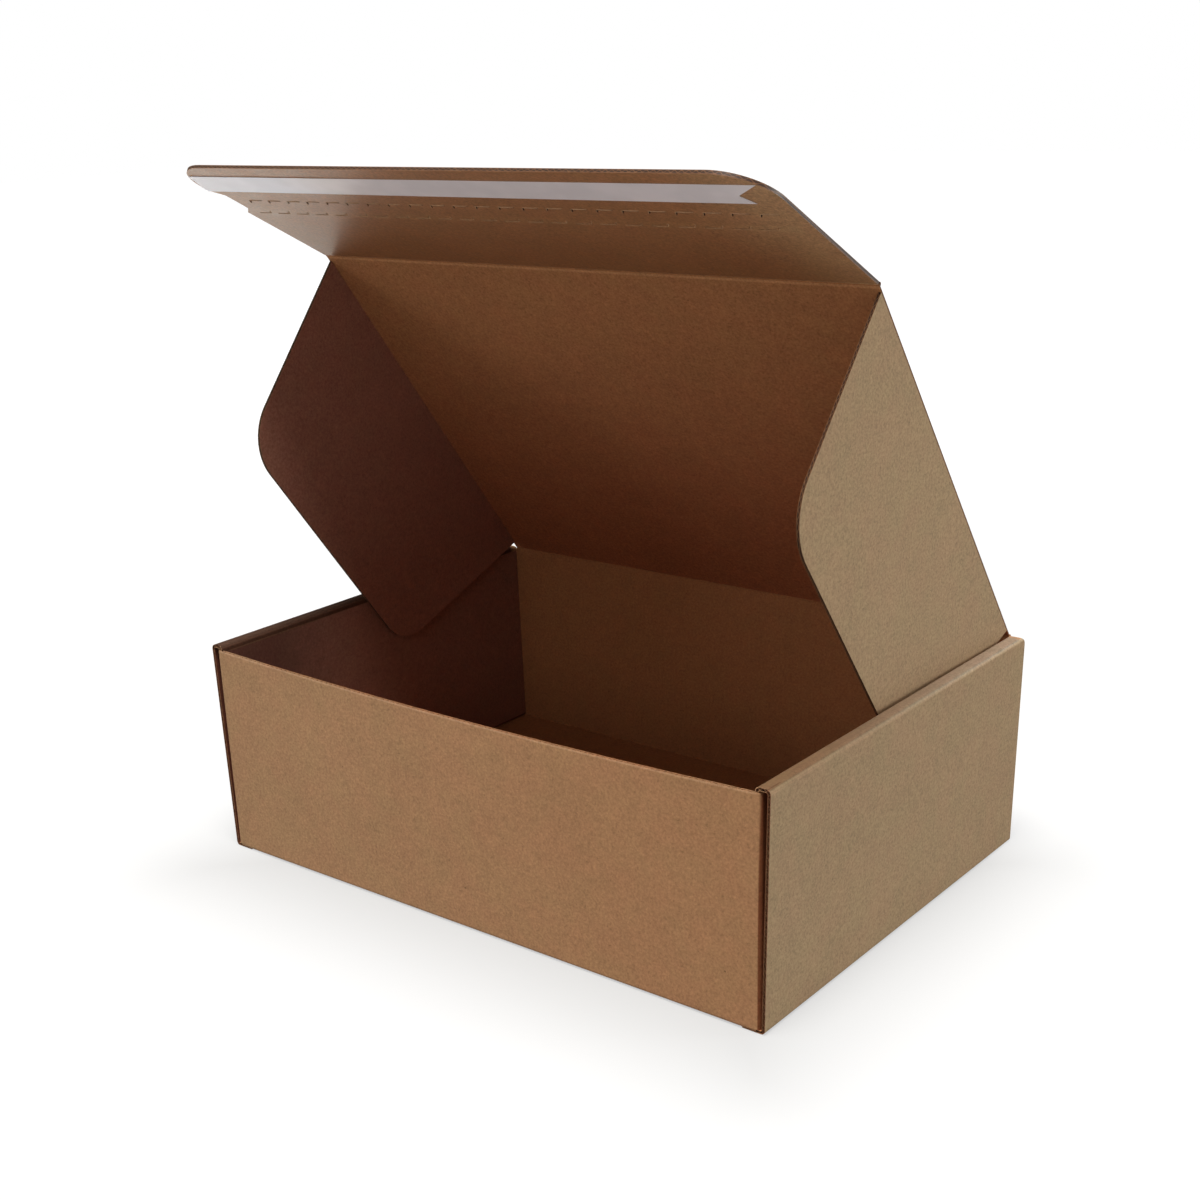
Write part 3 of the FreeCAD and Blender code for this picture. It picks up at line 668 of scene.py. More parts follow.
def tray_finish():
    """The tray: greyer on the sides' outer faces as painted cool light, darker inside as painted shade, and
    with painted shade and light at the folds, a painted highlight under the front wall's cut edge, and
    painted shade at the open ends.
    """
    sizes = bpy.context.scene.mailer_board
    wall = bpy.context.scene.mailer_wall
    tints = bpy.context.scene.mailer_tints
    half = wall.half_length
    look = Finish("Tray board")
    tree = look.tree
    x, y, z = look.along((1, 0, 0)), look.along((0, 1, 0)), look.along((0, 0, 1))
    reach = look.size_of(x)
    upright = maths(tree, "SUBTRACT", reach, maths(tree, "MULTIPLY", z, wall.side_lean))
    sideways = look.size_of(look.looks((1, 0, 0)))
    outward = maths(tree, "MULTIPLY", maths(tree, "SIGN", x), look.looks((1, 0, 0)))
    rise = look.looks((0, 0, 1))
    forward = look.looks((0, -1, 0))
    to_right = look.ramp(x, -100 * MM, 100 * MM)
    to_back = look.ramp(y, 1.5 * MM - TRAY_BACK, TRAY_BACK - 1.5 * MM)
    before_back = look.ramp(y, TRAY_BACK - 3.5 * MM, TRAY_BACK - 7.5 * MM)
    on_inner_fold = look.ramp(reach, wall.inner_face - 1.8 * MM, wall.inner_face - 1.3 * MM)

    outer = look.outer_tone()
    # Painted cool light on the outer faces that look sideways
    on_side = look.times(look.ramp(outward, 0.5, 0.8), look.ramp(upright, half - 1.5 * MM, half - 0.7 * MM))
    tone = look.blend(on_side, outer, sizes.kraft_side_cool_light)

    # Inner faces: painted shade, and the left side wall is darker, most of all at its front
    on_back = look.times(look.ramp(forward, 0.3, 0.6), look.ramp(reach, half - 2.0 * MM, half - 2.5 * MM))
    on_rim = look.times(look.ramp(rise, 0.3, 0.6), look.without(on_inner_fold))
    near_back = look.ramp(y, TRAY_BACK - 21.5 * MM, TRAY_BACK - 11.5 * MM)
    on_back = look.times(maths(tree, "MAXIMUM", on_back, on_rim), near_back)
    looks_in = maths(tree, "MAXIMUM", maths(tree, "MULTIPLY", outward, -1.0), rise)
    looks_in = look.times(look.ramp(looks_in, 0.4, 0.7), look.ramp(z, TRAY_TOP - 3 * MM, TRAY_TOP - 4 * MM))
    left_side_shade = look.blend(look.ramp(y, -20 * MM, -85 * MM), sizes.side_inside_shade, sizes.side_inside_front_shade)
    on_left = look.times(look.ramp(x, 20 * MM - half, 10 * MM - half), look.ramp(outward, -0.4, -0.7))
    inner = look.blend(on_left, sizes.kraft_inside_shaded, left_side_shade)
    tone = look.blend(maths(tree, "MAXIMUM", looks_in, on_back), tone, inner)

    # Top folds of the side walls: painted shade, darkest on the left, and cooler towards the back on the
    # right
    crown = look.times(
        look.ramp(rise, 0.45, 0.8), look.ramp(z, TRAY_TOP - 3 * MM, TRAY_TOP - 2 * MM),
        on_inner_fold, before_back,
    )
    crown_right_shade = look.blend(to_back, tints.crown_front_shade, tints.crown_back_cool_shade)
    tone = look.tint(crown, tone, look.blend(to_right, tints.crown_left_shade, crown_right_shade))
    # Painted shade at the front and painted cool light at the back, below the right crown
    shoulder = look.times(
        look.ramp(outward, 0.5, 0.8), look.ramp(rise, 0.02, 0.4),
        look.ramp(x, half - 20 * MM, half - 10 * MM), look.without(crown),
    )
    tone = look.tint(shoulder, tone, look.blend(to_back, tints.shoulder_front_shade, tints.shoulder_back_cool_light))
    # Painted shade on the left side wall's inner shoulder
    left_lip_shade = look.times(
        look.ramp(z, TRAY_TOP - 4 * MM, TRAY_TOP - 3 * MM), look.ramp(x, 10 * MM - half, 6 * MM - half),
        look.ramp(outward, 0.3, 0.0), look.ramp(rise, 0.85, 0.6), look.ramp(look.size_of(forward), 0.6, 0.3),
        before_back,
    )
    tone = look.tint(left_lip_shade, tone, tints.left_lip_shade)

    # Painted highlight along a line under the front wall's cut edge, which dips at the middle
    share = maths(tree, "MULTIPLY", x, 1 / wall.front_reach)
    edge = maths(tree, "MULTIPLY", look.times(share, share), wall.front_dip)
    below = maths(tree, "SUBTRACT", maths(tree, "SUBTRACT", z, wall.front_height - wall.front_dip), edge)
    rim_highlight = look.times(
        look.ramp(below, -1.1 * MM, -0.4 * MM), look.ramp(forward, 0.6, 0.9),
        look.ramp(y, 2.5 * MM - TRAY_BACK, 0.5 * MM - TRAY_BACK),
        look.ramp(reach, half - 2.5 * MM, half - 3.5 * MM),
    )
    tone = look.tint(rim_highlight, tone, tints.rim_highlight)

    # Painted shade on the open ends of the side walls, and in the gap beside the front wall's corner flap
    at_end = look.ramp(look.size_of(forward), 0.7, 0.9)
    end = look.times(at_end, look.ramp(upright, half - 2.0 * MM, half - 1.7 * MM))
    tone = look.tint(end, tone, look.blend(to_right, tints.end_left_shade, tints.end_right_shade))
    # Painted shade in the gap beside the front wall's corner flap
    gap = look.times(
        look.ramp(sideways, 0.2, 0.5), look.ramp(y, 11.5 * MM - TRAY_BACK, 7.5 * MM - TRAY_BACK),
        look.ramp(upright, half - 1.2 * MM, half - 1.6 * MM),
        look.ramp(upright, half - 5 * MM, half - 4 * MM),
    )
    tone = look.tint(gap, tone, look.blend(to_right, tints.gap_left_shade, tints.gap_right_shade))

    paper = look.kraft(tone, side_flutes(look, x))
    return look.finish_kraft(paper["Color"], paper)


def side_flutes(look, across):
    """The way across the flutes: up on faces that look sideways, and the given way on the others."""
    sideways = look.size_of(look.looks((1, 0, 0)))
    mix = look.tree.nodes.new("ShaderNodeMix")
    mix.data_type = "FLOAT"
    for index, source in ((0, look.ramp(sideways, 0.5, 0.8)), (2, across), (3, look.along((0, 0, 1)))):
        look.tree.links.new(source, mix.inputs[index])
    return mix.outputs[0]


def lid_finish():
    """The lid: its inner face is painted darker and redder towards the hinge, as shade."""
    sizes = bpy.context.scene.mailer_board
    tints = bpy.context.scene.mailer_tints
    look = Finish("Lid board")
    gone = look.along(-LID_ALONG, CREASE)
    shade = look.blend(look.ramp(gone, 0.0, 190 * MM), (1, 1, 1), tints.lid_far_shade)
    inner = look.tint(1.0, sizes.kraft_inside_shaded, shade)
    inner = look.tint(crease_highlight_line(look, gone), inner, tints.crease)
    tone = look.blend(look.ramp(look.looks(LID_INWARD), 0.2, 0.6), look.outer_tone(), inner)
    across = look.along(ACROSS)
    paper = look.kraft(tone, across, contrast=1.2)
    return look.finish_kraft(look.cut_faces(paper["Color"], HINGE, LID_INWARD, across), paper)


def flap_finish():
    """The closing flap: glossier inside, lighter inside by painted light and sheen towards its outer edge and
    right end, with painted shade near the crease and painted highlights on the cut faces in the tear strip's
    lower row.
    """
    sizes = bpy.context.scene.mailer_board
    tints = bpy.context.scene.mailer_tints
    tear = bpy.context.scene.mailer_tear
    look = Finish("Flap board", specular=0.5)
    gone = look.along(FLAP_ALONG, CREASE)
    across = look.along(ACROSS)
    # Painted shade near the crease, painted light towards the outer edge
    shade = look.blend(look.ramp(gone, 0.0, 100 * MM), tints.flap_near_shade, tints.flap_far_light)
    inner = look.tint(1.0, sizes.kraft_inside_shaded, shade)
    # Painted sheen towards the right end
    inner = look.tint(look.ramp(across, 100 * MM, 165 * MM), inner, tints.flap_right_sheen)
    inner = look.tint(crease_highlight_line(look, gone), inner, tints.crease)
    tone = look.blend(look.ramp(look.looks(FLAP_INWARD), 0.2, 0.6), look.outer_tone(), inner)
    paper = look.kraft(tone, across, contrast=1.4)
    # Painted highlight on the cut faces of the tear strip's lower row
    row = look.times(
        maths(look.tree, "GREATER_THAN", gone, tear.low_row - 2 * MM),
        maths(look.tree, "LESS_THAN", gone, tear.low_row + 4 * MM),
        maths(look.tree, "LESS_THAN", look.size_of(across), 150 * MM),
    )
    colour = look.tint(row, paper["Color"], tints.cut_row_highlight)
    return look.finish_kraft(look.cut_faces(colour, CREASE, FLAP_INWARD, across, row), paper, gloss=0.3)


def crease_highlight_line(look, gone):
    """A painted highlight along a line 1 mm from the closing flap's crease."""
    off = look.size_of(maths(look.tree, "SUBTRACT", gone, 1.0 * MM))
    return look.ramp(off, 1.2 * MM, 0.4 * MM)


def ear_finish(node, side):
    """An ear leans in slightly, so the way it looks is found from its own mesh."""
    sizes = bpy.context.scene.mailer_board
    mesh = frame["nodes"][node].data
    widest = max(mesh.polygons, key=lambda face: face.area if face.normal.x * -side > 0.9 else 0)
    inward = widest.normal.copy()
    middle = mesh.vertices[widest.vertices[0]].co - inward * sizes.board / 2
    look = Finish(node.replace("_", " ").capitalize())
    outward = maths(look.tree, "MULTIPLY", maths(look.tree, "SIGN", look.along(ACROSS)), look.looks(ACROSS))
    # Painted light and shade: cooler outward faces, and the inner faces in the darker inside colours
    tone = look.blend(look.ramp(outward, 0.5, 0.8), look.outer_tone(), sizes.kraft_side_cool_light)
    inside = sizes.ear_inside_shade if side < 0 else sizes.kraft_inside_shaded
    tone = look.blend(look.ramp(look.looks(inward), 0.2, 0.6), tone, inside)
    across = look.along(inward.cross(LID_ALONG).normalized())
    paper = look.kraft(tone, side_flutes(look, across))
    return look.finish_kraft(look.cut_faces(paper["Color"], middle, inward, across), paper)


def give(node, material):
    """Puts one material on all of a CAD node's slots."""
    mesh = frame["nodes"][node].data
    mesh.materials.clear()
    mesh.materials.append(material)


class MAILER_OT_boards(bpy.types.Operator):
    """Kraft paper and cut edges on the folded board"""

    bl_idname = "mailer.boards"
    bl_label = "Kraft boards"

    def execute(self, context):
        kraft_group()
        cut_edge_group()
        give("tray", tray_finish())
        give("lid_panel", lid_finish())
        give("front_flap", flap_finish())
        for node, side in (("left_ear", -1), ("right_ear", 1)):
            give(node, ear_finish(node, side))
        return {"FINISHED"}


# Flutes in the tray's open edges

def wave_tree():
    """A wavy paper ribbon along a curve: waves across the curve, and depth along a given way."""
    tree, given, result = new_group(
        "Wavy paper", "GeometryNodeTree",
        (
            ("Geometry", "Geometry", None), ("Step", "Float", 0.2 * MM), ("Pitch", "Float", 3.1 * MM),
            ("Crest", "Float", 0.4 * MM), ("Paper", "Float", 0.2 * MM), ("Depth", "Vector", (0, 2 * MM, 0)),
            ("Finish", "Material", None),
        ),
        (("Geometry", "Geometry"),),
    )
    nodes, join = tree.nodes, tree.links.new
    to_curve = nodes.new("GeometryNodeMeshToCurve")
    join(given["Geometry"], to_curve.inputs["Mesh"])
    resample = nodes.new("GeometryNodeResampleCurve")
    resample.mode = "LENGTH"
    join(to_curve.outputs["Curve"], resample.inputs["Curve"])
    join(given["Step"], resample.inputs["Length"])
    along = nodes.new("GeometryNodeSplineParameter")
    turns = maths(tree, "DIVIDE", along.outputs["Length"], given["Pitch"])
    wave = maths(tree, "SINE", maths(tree, "MULTIPLY", turns, 2 * math.pi))
    tangent = nodes.new("GeometryNodeInputTangent")
    sideways = vector_maths(tree, "CROSS_PRODUCT", tangent.outputs[0], given["Depth"])
    shift = nodes.new("ShaderNodeVectorMath")
    shift.operation = "SCALE"
    join(vector_maths(tree, "NORMALIZE", sideways), shift.inputs[0])
    join(maths(tree, "MULTIPLY", wave, given["Crest"]), shift.inputs["Scale"])
    waved = nodes.new("GeometryNodeSetPosition")
    join(resample.outputs[0], waved.inputs["Geometry"])
    join(shift.outputs[0], waved.inputs["Offset"])
    as_mesh = nodes.new("GeometryNodeCurveToMesh")
    join(waved.outputs[0], as_mesh.inputs["Curve"])
    pull = nodes.new("GeometryNodeExtrudeMesh")
    pull.mode = "EDGES"
    pull.inputs["Offset Scale"].default_value = 1.0
    join(as_mesh.outputs[0], pull.inputs["Mesh"])
    join(given["Depth"], pull.inputs["Offset"])
    solid = nodes.new("GeometryNodeExtrudeMesh")
    solid.mode = "FACES"
    solid.inputs["Individual"].default_value = False
    join(pull.outputs["Mesh"], solid.inputs["Mesh"])
    join(given["Paper"], solid.inputs["Offset Scale"])
    back = nodes.new("GeometryNodeFlipFaces")
    join(pull.outputs["Mesh"], back.inputs["Mesh"])
    both = nodes.new("GeometryNodeJoinGeometry")
    join(solid.outputs["Mesh"], both.inputs[0])
    join(back.outputs[0], both.inputs[0])
    merged = nodes.new("GeometryNodeMergeByDistance")
    merged.inputs["Distance"].default_value = 0.001 * MM
    join(both.outputs[0], merged.inputs["Geometry"])
    coat_tree(tree, merged.outputs[0], given["Finish"], result)
    return tree


def coat_tree(tree, geometry, finish, result):
    """Ends a geometry tree: real instances, and the finish on them."""
    real = tree.nodes.new("GeometryNodeRealizeInstances")
    tree.links.new(geometry, real.inputs[0])
    coat = tree.nodes.new("GeometryNodeSetMaterial")
    tree.links.new(real.outputs[0], coat.inputs["Geometry"])
    tree.links.new(finish, coat.inputs["Material"])
    tree.links.new(coat.outputs[0], result[0])


def run_tree(name, start, tree, values, body):
    """Runs a geometry tree on a start mesh, and keeps the result as a plain mesh on a body."""
    modifier = start.modifiers.new(tree.name, "NODES")
    modifier.node_group = tree
    identifiers = {item.name: item.identifier for item in tree.interface.items_tree if item.in_out == "INPUT"}
    for key, value in values.items():
        modifier[identifiers[key]] = value
    bpy.context.view_layer.update()
    graph = bpy.context.evaluated_depsgraph_get()
    mesh = bpy.data.meshes.new_from_object(start.evaluated_get(graph))
    bpy.data.objects.remove(start)
    mesh.name = name
    obj = bpy.data.objects.new(name, mesh)
    bpy.context.scene.collection.objects.link(obj)
    if not mesh.polygons:
        raise RuntimeError(name + " came out empty")
    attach(obj, body)


def path_object(points):
    return mesh_object("start", points, [], [(i, i + 1) for i in range(len(points) - 1)])


def rounded_path(corners, steps=8):
    """Points along straight runs with rounded corners: (point, radius) each, open at both ends."""
    points = [Vector(corners[0][0])]
    for i in range(1, len(corners) - 1):
        corner, radius = Vector(corners[i][0]), corners[i][1]
        back = (Vector(corners[i - 1][0]) - corner).normalized()
        ahead = (Vector(corners[i + 1][0]) - corner).normalized()
        half = back.angle(ahead) / 2
        centre = corner + (back + ahead).normalized() * radius / math.sin(half)
        start = corner + back * radius / math.tan(half)
        end = corner + ahead * radius / math.tan(half)
        first = (start - centre).normalized()
        last = (end - centre).normalized()
        for k in range(steps + 1):
            points.append(centre + first.slerp(last, k / steps) * radius)
    points.append(Vector(corners[-1][0]))
    return points


class MAILER_OT_flutes(bpy.types.Operator):
    """Wavy paper inside the open edges of the tray's walls"""

    bl_idname = "mailer.flutes"
    bl_label = "Flutes"

    def execute(self, context):
        board = context.scene.mailer_board
        tree = wave_tree()
        values = {
            "Step": 0.22 * MM,
            "Pitch": board.flute_pitch,
            "Crest": board.board / 2 - board.paper - board.flute_paper / 2 - 0.02 * MM,
            "Paper": board.flute_paper,
            "Finish": plain_kraft("Flute paper", board.flute_colour_shaded),
        }
        depth = board.open_edge - 0.15 * MM
        for side, side_name in ((-1, "left"), (1, "right")):
            for end, end_name in ((-1, "front"), (1, "back")):
                start = path_object(rounded_path(self.end_corners(side, end)))
                name = "flutes_%s_%s" % (side_name, end_name)
                run_tree(name, start, tree, dict(values, Depth=(0.0, -end * depth, 0.0)), "tray")
        start = path_object(self.front_edge())
        run_tree("flutes_front_top", start, tree, dict(values, Depth=(0.0, 0.0, -depth)), "tray")
        return {"FINISHED"}

    def end_corners(self, side, end):
        """The middle of the board round a side wall's open end, up to its back top corner or over its top."""
        wall = bpy.context.scene.mailer_wall
        half = bpy.context.scene.mailer_board.board / 2
        y = end * (TRAY_BACK - wall.setback - 0.1 * MM)
        corners = [
            ((side * (wall.inner_face - wall.tuck), y, half), 0),
            ((side * (wall.half_length - half), y, half), wall.fold_radius - half),
        ]
        if end > 0:
            stop = TRAY_TOP - wall.back_corner
            outer = wall.half_length + (TRAY_HIGH.x - wall.half_length) * stop / TRAY_TOP
            corners.append(((side * (outer - half), y, stop), 0))
            return corners
        inner = side * (wall.inner_face + wall.inner_flare + half)
        corners.append(((side * (TRAY_HIGH.x - half), y, TRAY_TOP - half), wall.roll_radius - half))
        corners.append(((inner, y, TRAY_TOP - half), wall.fold_radius - half))
        corners.append(((inner, y, TRAY_TOP - half - wall.top_run), 0))
        return corners

    def front_edge(self, steps=80):
        """The middle of the board along the front wall's dipping edge."""
        wall = bpy.context.scene.mailer_wall
        half = bpy.context.scene.mailer_board.board / 2
        reach = wall.front_reach - 1.5 * MM
        points = []
        for k in range(steps + 1):
            x = -reach + 2 * reach * k / steps
            drop = wall.front_dip * (1 - (x / wall.front_reach) ** 2)
            points.append((x, half - TRAY_BACK, wall.front_height - drop - 0.12 * MM))
        return points


def plain_kraft(name, colour):
    """Kraft paper in one tone, for the small pieces."""
    look = Finish(name)
    paper = look.kraft((*colour, 1))
    look.feed(paper["Color"], "Base Color")
    look.feed(paper["Roughness"], "Roughness")
    return look.material


# Lips of the tear strip's cuts

def lip_tree():
    """Paper lips raised beside the cuts, one row at a time."""
    tree, given, result = new_group(
        "Cut lips", "GeometryNodeTree",
        (
            ("Geometry", "Geometry", None), ("Cuts", "Int", 23), ("Pitch", "Float", 12.7 * MM),
            ("Finish", "Material", None),
        ),
        (("Geometry", "Geometry"),),
    )
    line = tree.nodes.new("GeometryNodeMeshLine")
    line.mode = "OFFSET"
    tree.links.new(given["Cuts"], line.inputs["Count"])
    step = tree.nodes.new("ShaderNodeCombineXYZ")
    tree.links.new(given["Pitch"], step.inputs["X"])
    tree.links.new(step.outputs[0], line.inputs["Offset"])
    copies = tree.nodes.new("GeometryNodeInstanceOnPoints")
    tree.links.new(line.outputs[0], copies.inputs["Points"])
    tree.links.new(given["Geometry"], copies.inputs["Instance"])
    coat_tree(tree, copies.outputs[0], given["Finish"], result)
    return tree


def flap_point(x, along, above):
    """A point on the closing flap: across, from the crease, and above its inner face."""
    half = bpy.context.scene.mailer_board.board / 2
    return CREASE + ACROSS * x + FLAP_ALONG * along + FLAP_INWARD * (half + above)


def lip_object(runs, height, steps=6):
    """Low ridges along short runs, each from (x, along) to (x, along), tapering towards both ends."""
    tear = bpy.context.scene.mailer_tear
    verts, faces = [], []
    for (x0, d0), (x1, d1) in runs:
        way = Vector((x1 - x0, d1 - d0, 0)).normalized()
        side = Vector((-way.y, way.x, 0)) * tear.lip_width
        first = len(verts)
        for k in range(steps + 1):
            share = k / steps
            rise = height * math.sin(math.pi * (0.12 + 0.76 * share)) ** 0.7
            x = x0 + (x1 - x0) * share
            d = d0 + (d1 - d0) * share
            section = ((0.0, -tear.lip_sink), (0.15, rise), (0.5, rise * 0.7), (1.0, -tear.lip_sink))
            for shift, above in section:
                verts.append(flap_point(x + side.x * shift, d + side.y * shift, above))
        for k in range(steps):
            a = first + 4 * k
            faces += [(a + j, a + j + 1, a + j + 5, a + j + 4) for j in range(3)]
            faces.append((a + 3, a, a + 4, a + 7))
        last = first + 4 * steps
        faces.append((first + 3, first + 2, first + 1, first))
        faces.append((last, last + 1, last + 2, last + 3))
    obj = mesh_object("start", verts, faces)
    work = bmesh.new()
    work.from_mesh(obj.data)
    bmesh.ops.recalc_face_normals(work, faces=work.faces)
    work.to_mesh(obj.data)
    work.free()
    return obj


class MAILER_OT_tear_strip(bpy.types.Operator):
    """Raised paper lips along the two rows of cuts"""

    bl_idname = "mailer.tear_strip"
    bl_label = "Tear strip"

    def execute(self, context):
        tear = context.scene.mailer_tear
        tree = lip_tree()
        finish = plain_kraft("Raised lips", context.scene.mailer_board.lip_colour)
        values = {"Cuts": tear.cuts, "Pitch": tear.pitch, "Finish": finish}
        first = -(tear.cuts - 1) * tear.pitch / 2
        high, low = tear.high_row, tear.low_row
        cut, lean = tear.cut_length, tear.tick_lean
        runs = [((first, high), (first + cut, high)), ((first - lean, high - tear.tick), (first, high))]
        run_tree("lips_high", lip_object(runs, tear.lip_height), tree, values, "flap")
        under = low - 0.02 * MM
        runs = [
            ((first, under), (first - cut, under)),
            ((first + lean, low + tear.tick), (first, low + tear.cut_width)),
        ]
        run_tree("lips_low", lip_object(runs, tear.lip_height / 2), tree, values, "flap")
        return {"FINISHED"}


class MAILER_OT_tape(bpy.types.Operator):
    """Adhesive and its release liner"""

    bl_idname = "mailer.tape"
    bl_label = "Closing tape"

    def execute(self, context):
        give("release_liner", liner_finish())
        give("adhesive_strip", adhesive_finish())
        return {"FINISHED"}


def liner_finish():
    """Coated paper: nearly white, bluer at the left as painted light, with faint waves where it lies on the
    adhesive.
    """
    tape = bpy.context.scene.mailer_tape
    look = Finish("Release liner", specular=0.25)
    waves = noise(look.tree, look.place, 60, 2, 0.5)
    fine = noise(look.tree, look.place, 900, 2, 0.5)
    tone = look.blend(look.ramp(waves, 0.3, 0.7), tape.liner_low, tape.liner)
    at_left = look.ramp(look.along(ACROSS), -60 * MM, -110 * MM)
    look.feed(look.tint(at_left, tone, tape.liner_left_light), "Base Color")
    look.feed(maths(look.tree, "ADD", 0.38, maths(look.tree, "MULTIPLY", fine, 0.12)), "Roughness")
    look.relief(waves, 0.3, 0.2 * MM)
    return look.material


def adhesive_finish():
    """A clear, slightly milky line of adhesive."""
    tape = bpy.context.scene.mailer_tape
    look = Finish("Adhesive")
    bubbles = noise(look.tree, look.place, 350, 3, 0.6)
    look.feed(look.blend(look.ramp(bubbles, 0.35, 0.7), tape.adhesive, tape.adhesive_milky), "Base Color")
    look.feed(maths(look.tree, "ADD", 0.15, maths(look.tree, "MULTIPLY", bubbles, 0.2)), "Roughness")
    return look.material


# Studio

class MAILER_OT_stage(bpy.types.Operator):
    """Floor, lamps, world and camera"""

    bl_idname = "mailer.stage"
    bl_label = "Studio"

    def execute(self, context):
        studio = context.scene.mailer_studio
        self.floor(studio)
        self.world(studio)
        for lamp in LAMPS:
            self.lamp(*lamp)
        self.camera(studio)
        context.scene.view_settings.view_transform = "Standard"
        return {"FINISHED"}

    def floor(self, studio):
        reach, level = studio.floor_reach, studio.floor_level
        corners = [(x * reach, y * reach, level) for x, y in ((-1, -1), (1, -1), (1, 1), (-1, 1))]
        plane = mesh_object("studio_floor", corners, [(0, 1, 2, 3)])
        plane.data.materials.append(self.floor_finish(studio))

    def floor_finish(self, studio):
        """Grey for the lamps' light, and nearly white for the camera, with a soft shade round the box."""
        material = bpy.data.materials.new("Studio floor")
        material.use_nodes = True
        tree = material.node_tree
        tree.nodes.clear()
        seen = tree.nodes.new("ShaderNodeLightPath").outputs["Is Camera Ray"]
        pale = tree.nodes.new("ShaderNodeBsdfDiffuse")
        grey = mix_colour(tree, "MIX", seen, (0.3, 0.3, 0.3), (0.15, 0.15, 0.15))
        tree.links.new(grey, pale.inputs["Color"])
        place = tree.nodes.new("ShaderNodeTexCoord").outputs["Object"]
        away = vector_maths(tree, "LENGTH", place)

        # Distance from the box's footprint, less than nought under the box
        past = vector_maths(tree, "ABSOLUTE", vector_maths(tree, "SUBTRACT", place, studio.contact_middle))
        past = vector_maths(tree, "SUBTRACT", past, studio.contact_half)
        outside = vector_maths(tree, "LENGTH", vector_maths(tree, "MAXIMUM", past, (0, 0, 0)))
        split = tree.nodes.new("ShaderNodeSeparateXYZ")
        tree.links.new(past, split.inputs[0])
        inside = maths(tree, "MINIMUM", maths(tree, "MAXIMUM", split.outputs[0], split.outputs[1]), 0.0)
        past_edge = maths(tree, "ADD", outside, inside)

        contact = ramp_between(tree, past_edge, 75 * MM, -50 * MM, 0.0, studio.contact_shade)
        glow_here = ramp_between(tree, away, 0.4, 1.1, studio.floor_near, 1.0)
        strength = maths(tree, "SUBTRACT", glow_here, contact)
        glow = tree.nodes.new("ShaderNodeEmission")
        tree.links.new(maths(tree, "MULTIPLY", strength, seen), glow.inputs["Strength"])
        both = tree.nodes.new("ShaderNodeAddShader")
        tree.links.new(pale.outputs[0], both.inputs[0])
        tree.links.new(glow.outputs[0], both.inputs[1])
        output = tree.nodes.new("ShaderNodeOutputMaterial")
        tree.links.new(both.outputs[0], output.inputs["Surface"])
        return material

    def world(self, studio):
        """White for the camera, and an even light at the ambient strength for everything else."""
        world = bpy.data.worlds.new("Studio")
        bpy.context.scene.world = world
        world.use_nodes = True
        tree = world.node_tree
        even = tree.nodes["Background"]
        even.inputs["Color"].default_value = (1, 1, 1, 1)
        even.inputs["Strength"].default_value = studio.ambient
        white = tree.nodes.new("ShaderNodeBackground")
        white.inputs["Color"].default_value = (1, 1, 1, 1)
        white.inputs["Strength"].default_value = 1.0
        mix = tree.nodes.new("ShaderNodeMixShader")
        tree.links.new(tree.nodes.new("ShaderNodeLightPath").outputs["Is Camera Ray"], mix.inputs[0])
        tree.links.new(even.outputs[0], mix.inputs[1])
        tree.links.new(white.outputs[0], mix.inputs[2])
        tree.links.new(mix.outputs[0], tree.nodes["World Output"].inputs["Surface"])

    def lamp(self, name, place, aim, size, power, colour):
        light = bpy.data.lights.new(name, "AREA")
        light.shape = "DISK"
        light.size = size
        light.energy = power
        light.color = colour
        obj = bpy.data.objects.new(name, light)
        bpy.context.scene.collection.objects.link(obj)
        obj.location = place
        obj.visible_camera = False
        obj.rotation_euler = (Vector(aim) - Vector(place)).to_track_quat("-Z", "Y").to_euler()

    def camera(self, studio):
        back = Vector((
            math.sin(studio.azimuth) * math.cos(studio.elevation),
            -math.cos(studio.azimuth) * math.cos(studio.elevation),
            math.sin(studio.elevation),
        ))
        right = (-back).cross(Vector((0, 0, 1))).normalized()
        up = right.cross(-back)
        rolled_right = right * math.cos(studio.roll) + up * math.sin(studio.roll)
        rolled_up = up * math.cos(studio.roll) - right * math.sin(studio.roll)
        lens = bpy.data.cameras.new("photo_camera")
        lens.sensor_width = 36
        lens.lens = studio.focal_px / studio.frame_px * lens.sensor_width
        lens.shift_y = (studio.axis_row - studio.frame_px / 2) / studio.frame_px
        lens.clip_start = 0.01
        camera = bpy.data.objects.new("photo_camera", lens)
        bpy.context.scene.collection.objects.link(camera)
        eye = Vector(studio.aim) + back * studio.distance
        turn = Matrix((rolled_right, rolled_up, back)).transposed().to_4x4()
        camera.matrix_world = Matrix.Translation(eye) @ turn
        bpy.context.scene.camera = camera


class MAILER_PT_panel(bpy.types.Panel):
    """Lists the steps that dress the box"""

    bl_idname = "MAILER_PT_panel"
    bl_label = "Mailer box"
    bl_space_type = "VIEW_3D"
    bl_region_type = "UI"
    bl_category = "Mailer"

    def draw(self, context):
        for step in STEPS:
            self.layout.operator(step.bl_idname)


STEPS = (MAILER_OT_boards, MAILER_OT_flutes, MAILER_OT_tear_strip, MAILER_OT_tape, MAILER_OT_stage)
CLASSES = (*STEPS, MAILER_PT_panel)
GROUPS = (
    (BoardSizes, "mailer_board"),
    (PaperTints, "mailer_tints"),
    (WallSizes, "mailer_wall"),
    (TearStrip, "mailer_tear"),
    (TapeColours, "mailer_tape"),
    (Studio, "mailer_studio"),
)


def register():
    for group, name in GROUPS:
        bpy.utils.register_class(group)
        setattr(bpy.types.Scene, name, bpy.props.PointerProperty(type=group))
    for item in CLASSES:
        bpy.utils.register_class(item)


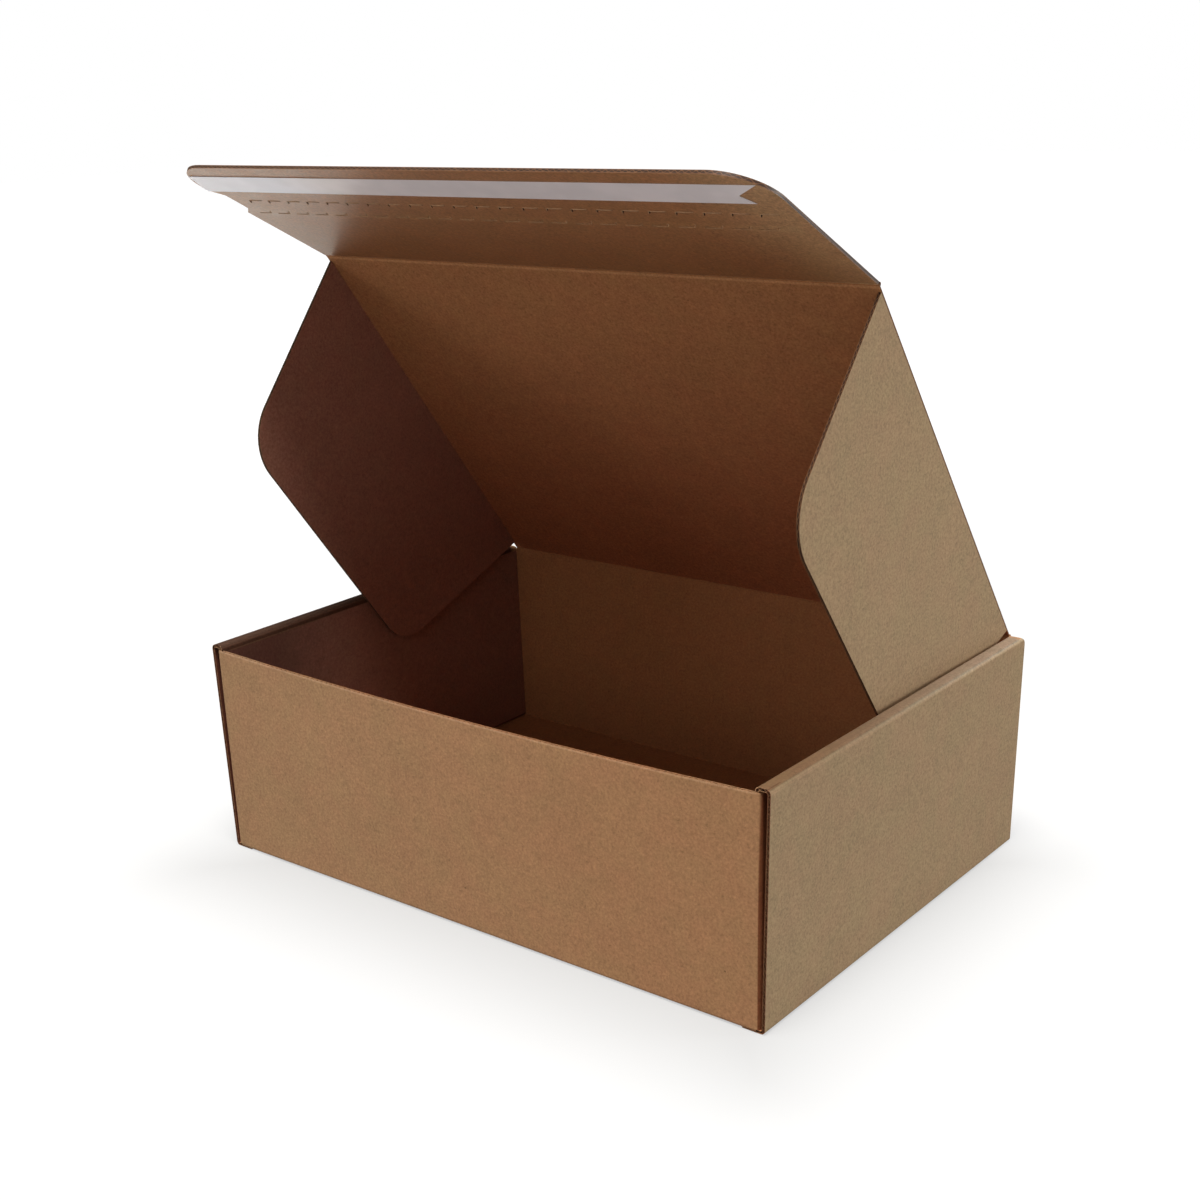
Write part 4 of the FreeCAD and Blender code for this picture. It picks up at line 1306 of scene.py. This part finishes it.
def unregister():
    for item in reversed(CLASSES):
        bpy.utils.unregister_class(item)
    for group, name in reversed(GROUPS):
        delattr(bpy.types.Scene, name)
        bpy.utils.unregister_class(group)


def main():
    register()
    bpy.ops.mailer.boards()
    bpy.ops.mailer.flutes()
    bpy.ops.mailer.tear_strip()
    bpy.ops.mailer.tape()
    bpy.ops.mailer.stage()


if __name__ == "__main__":
    main()
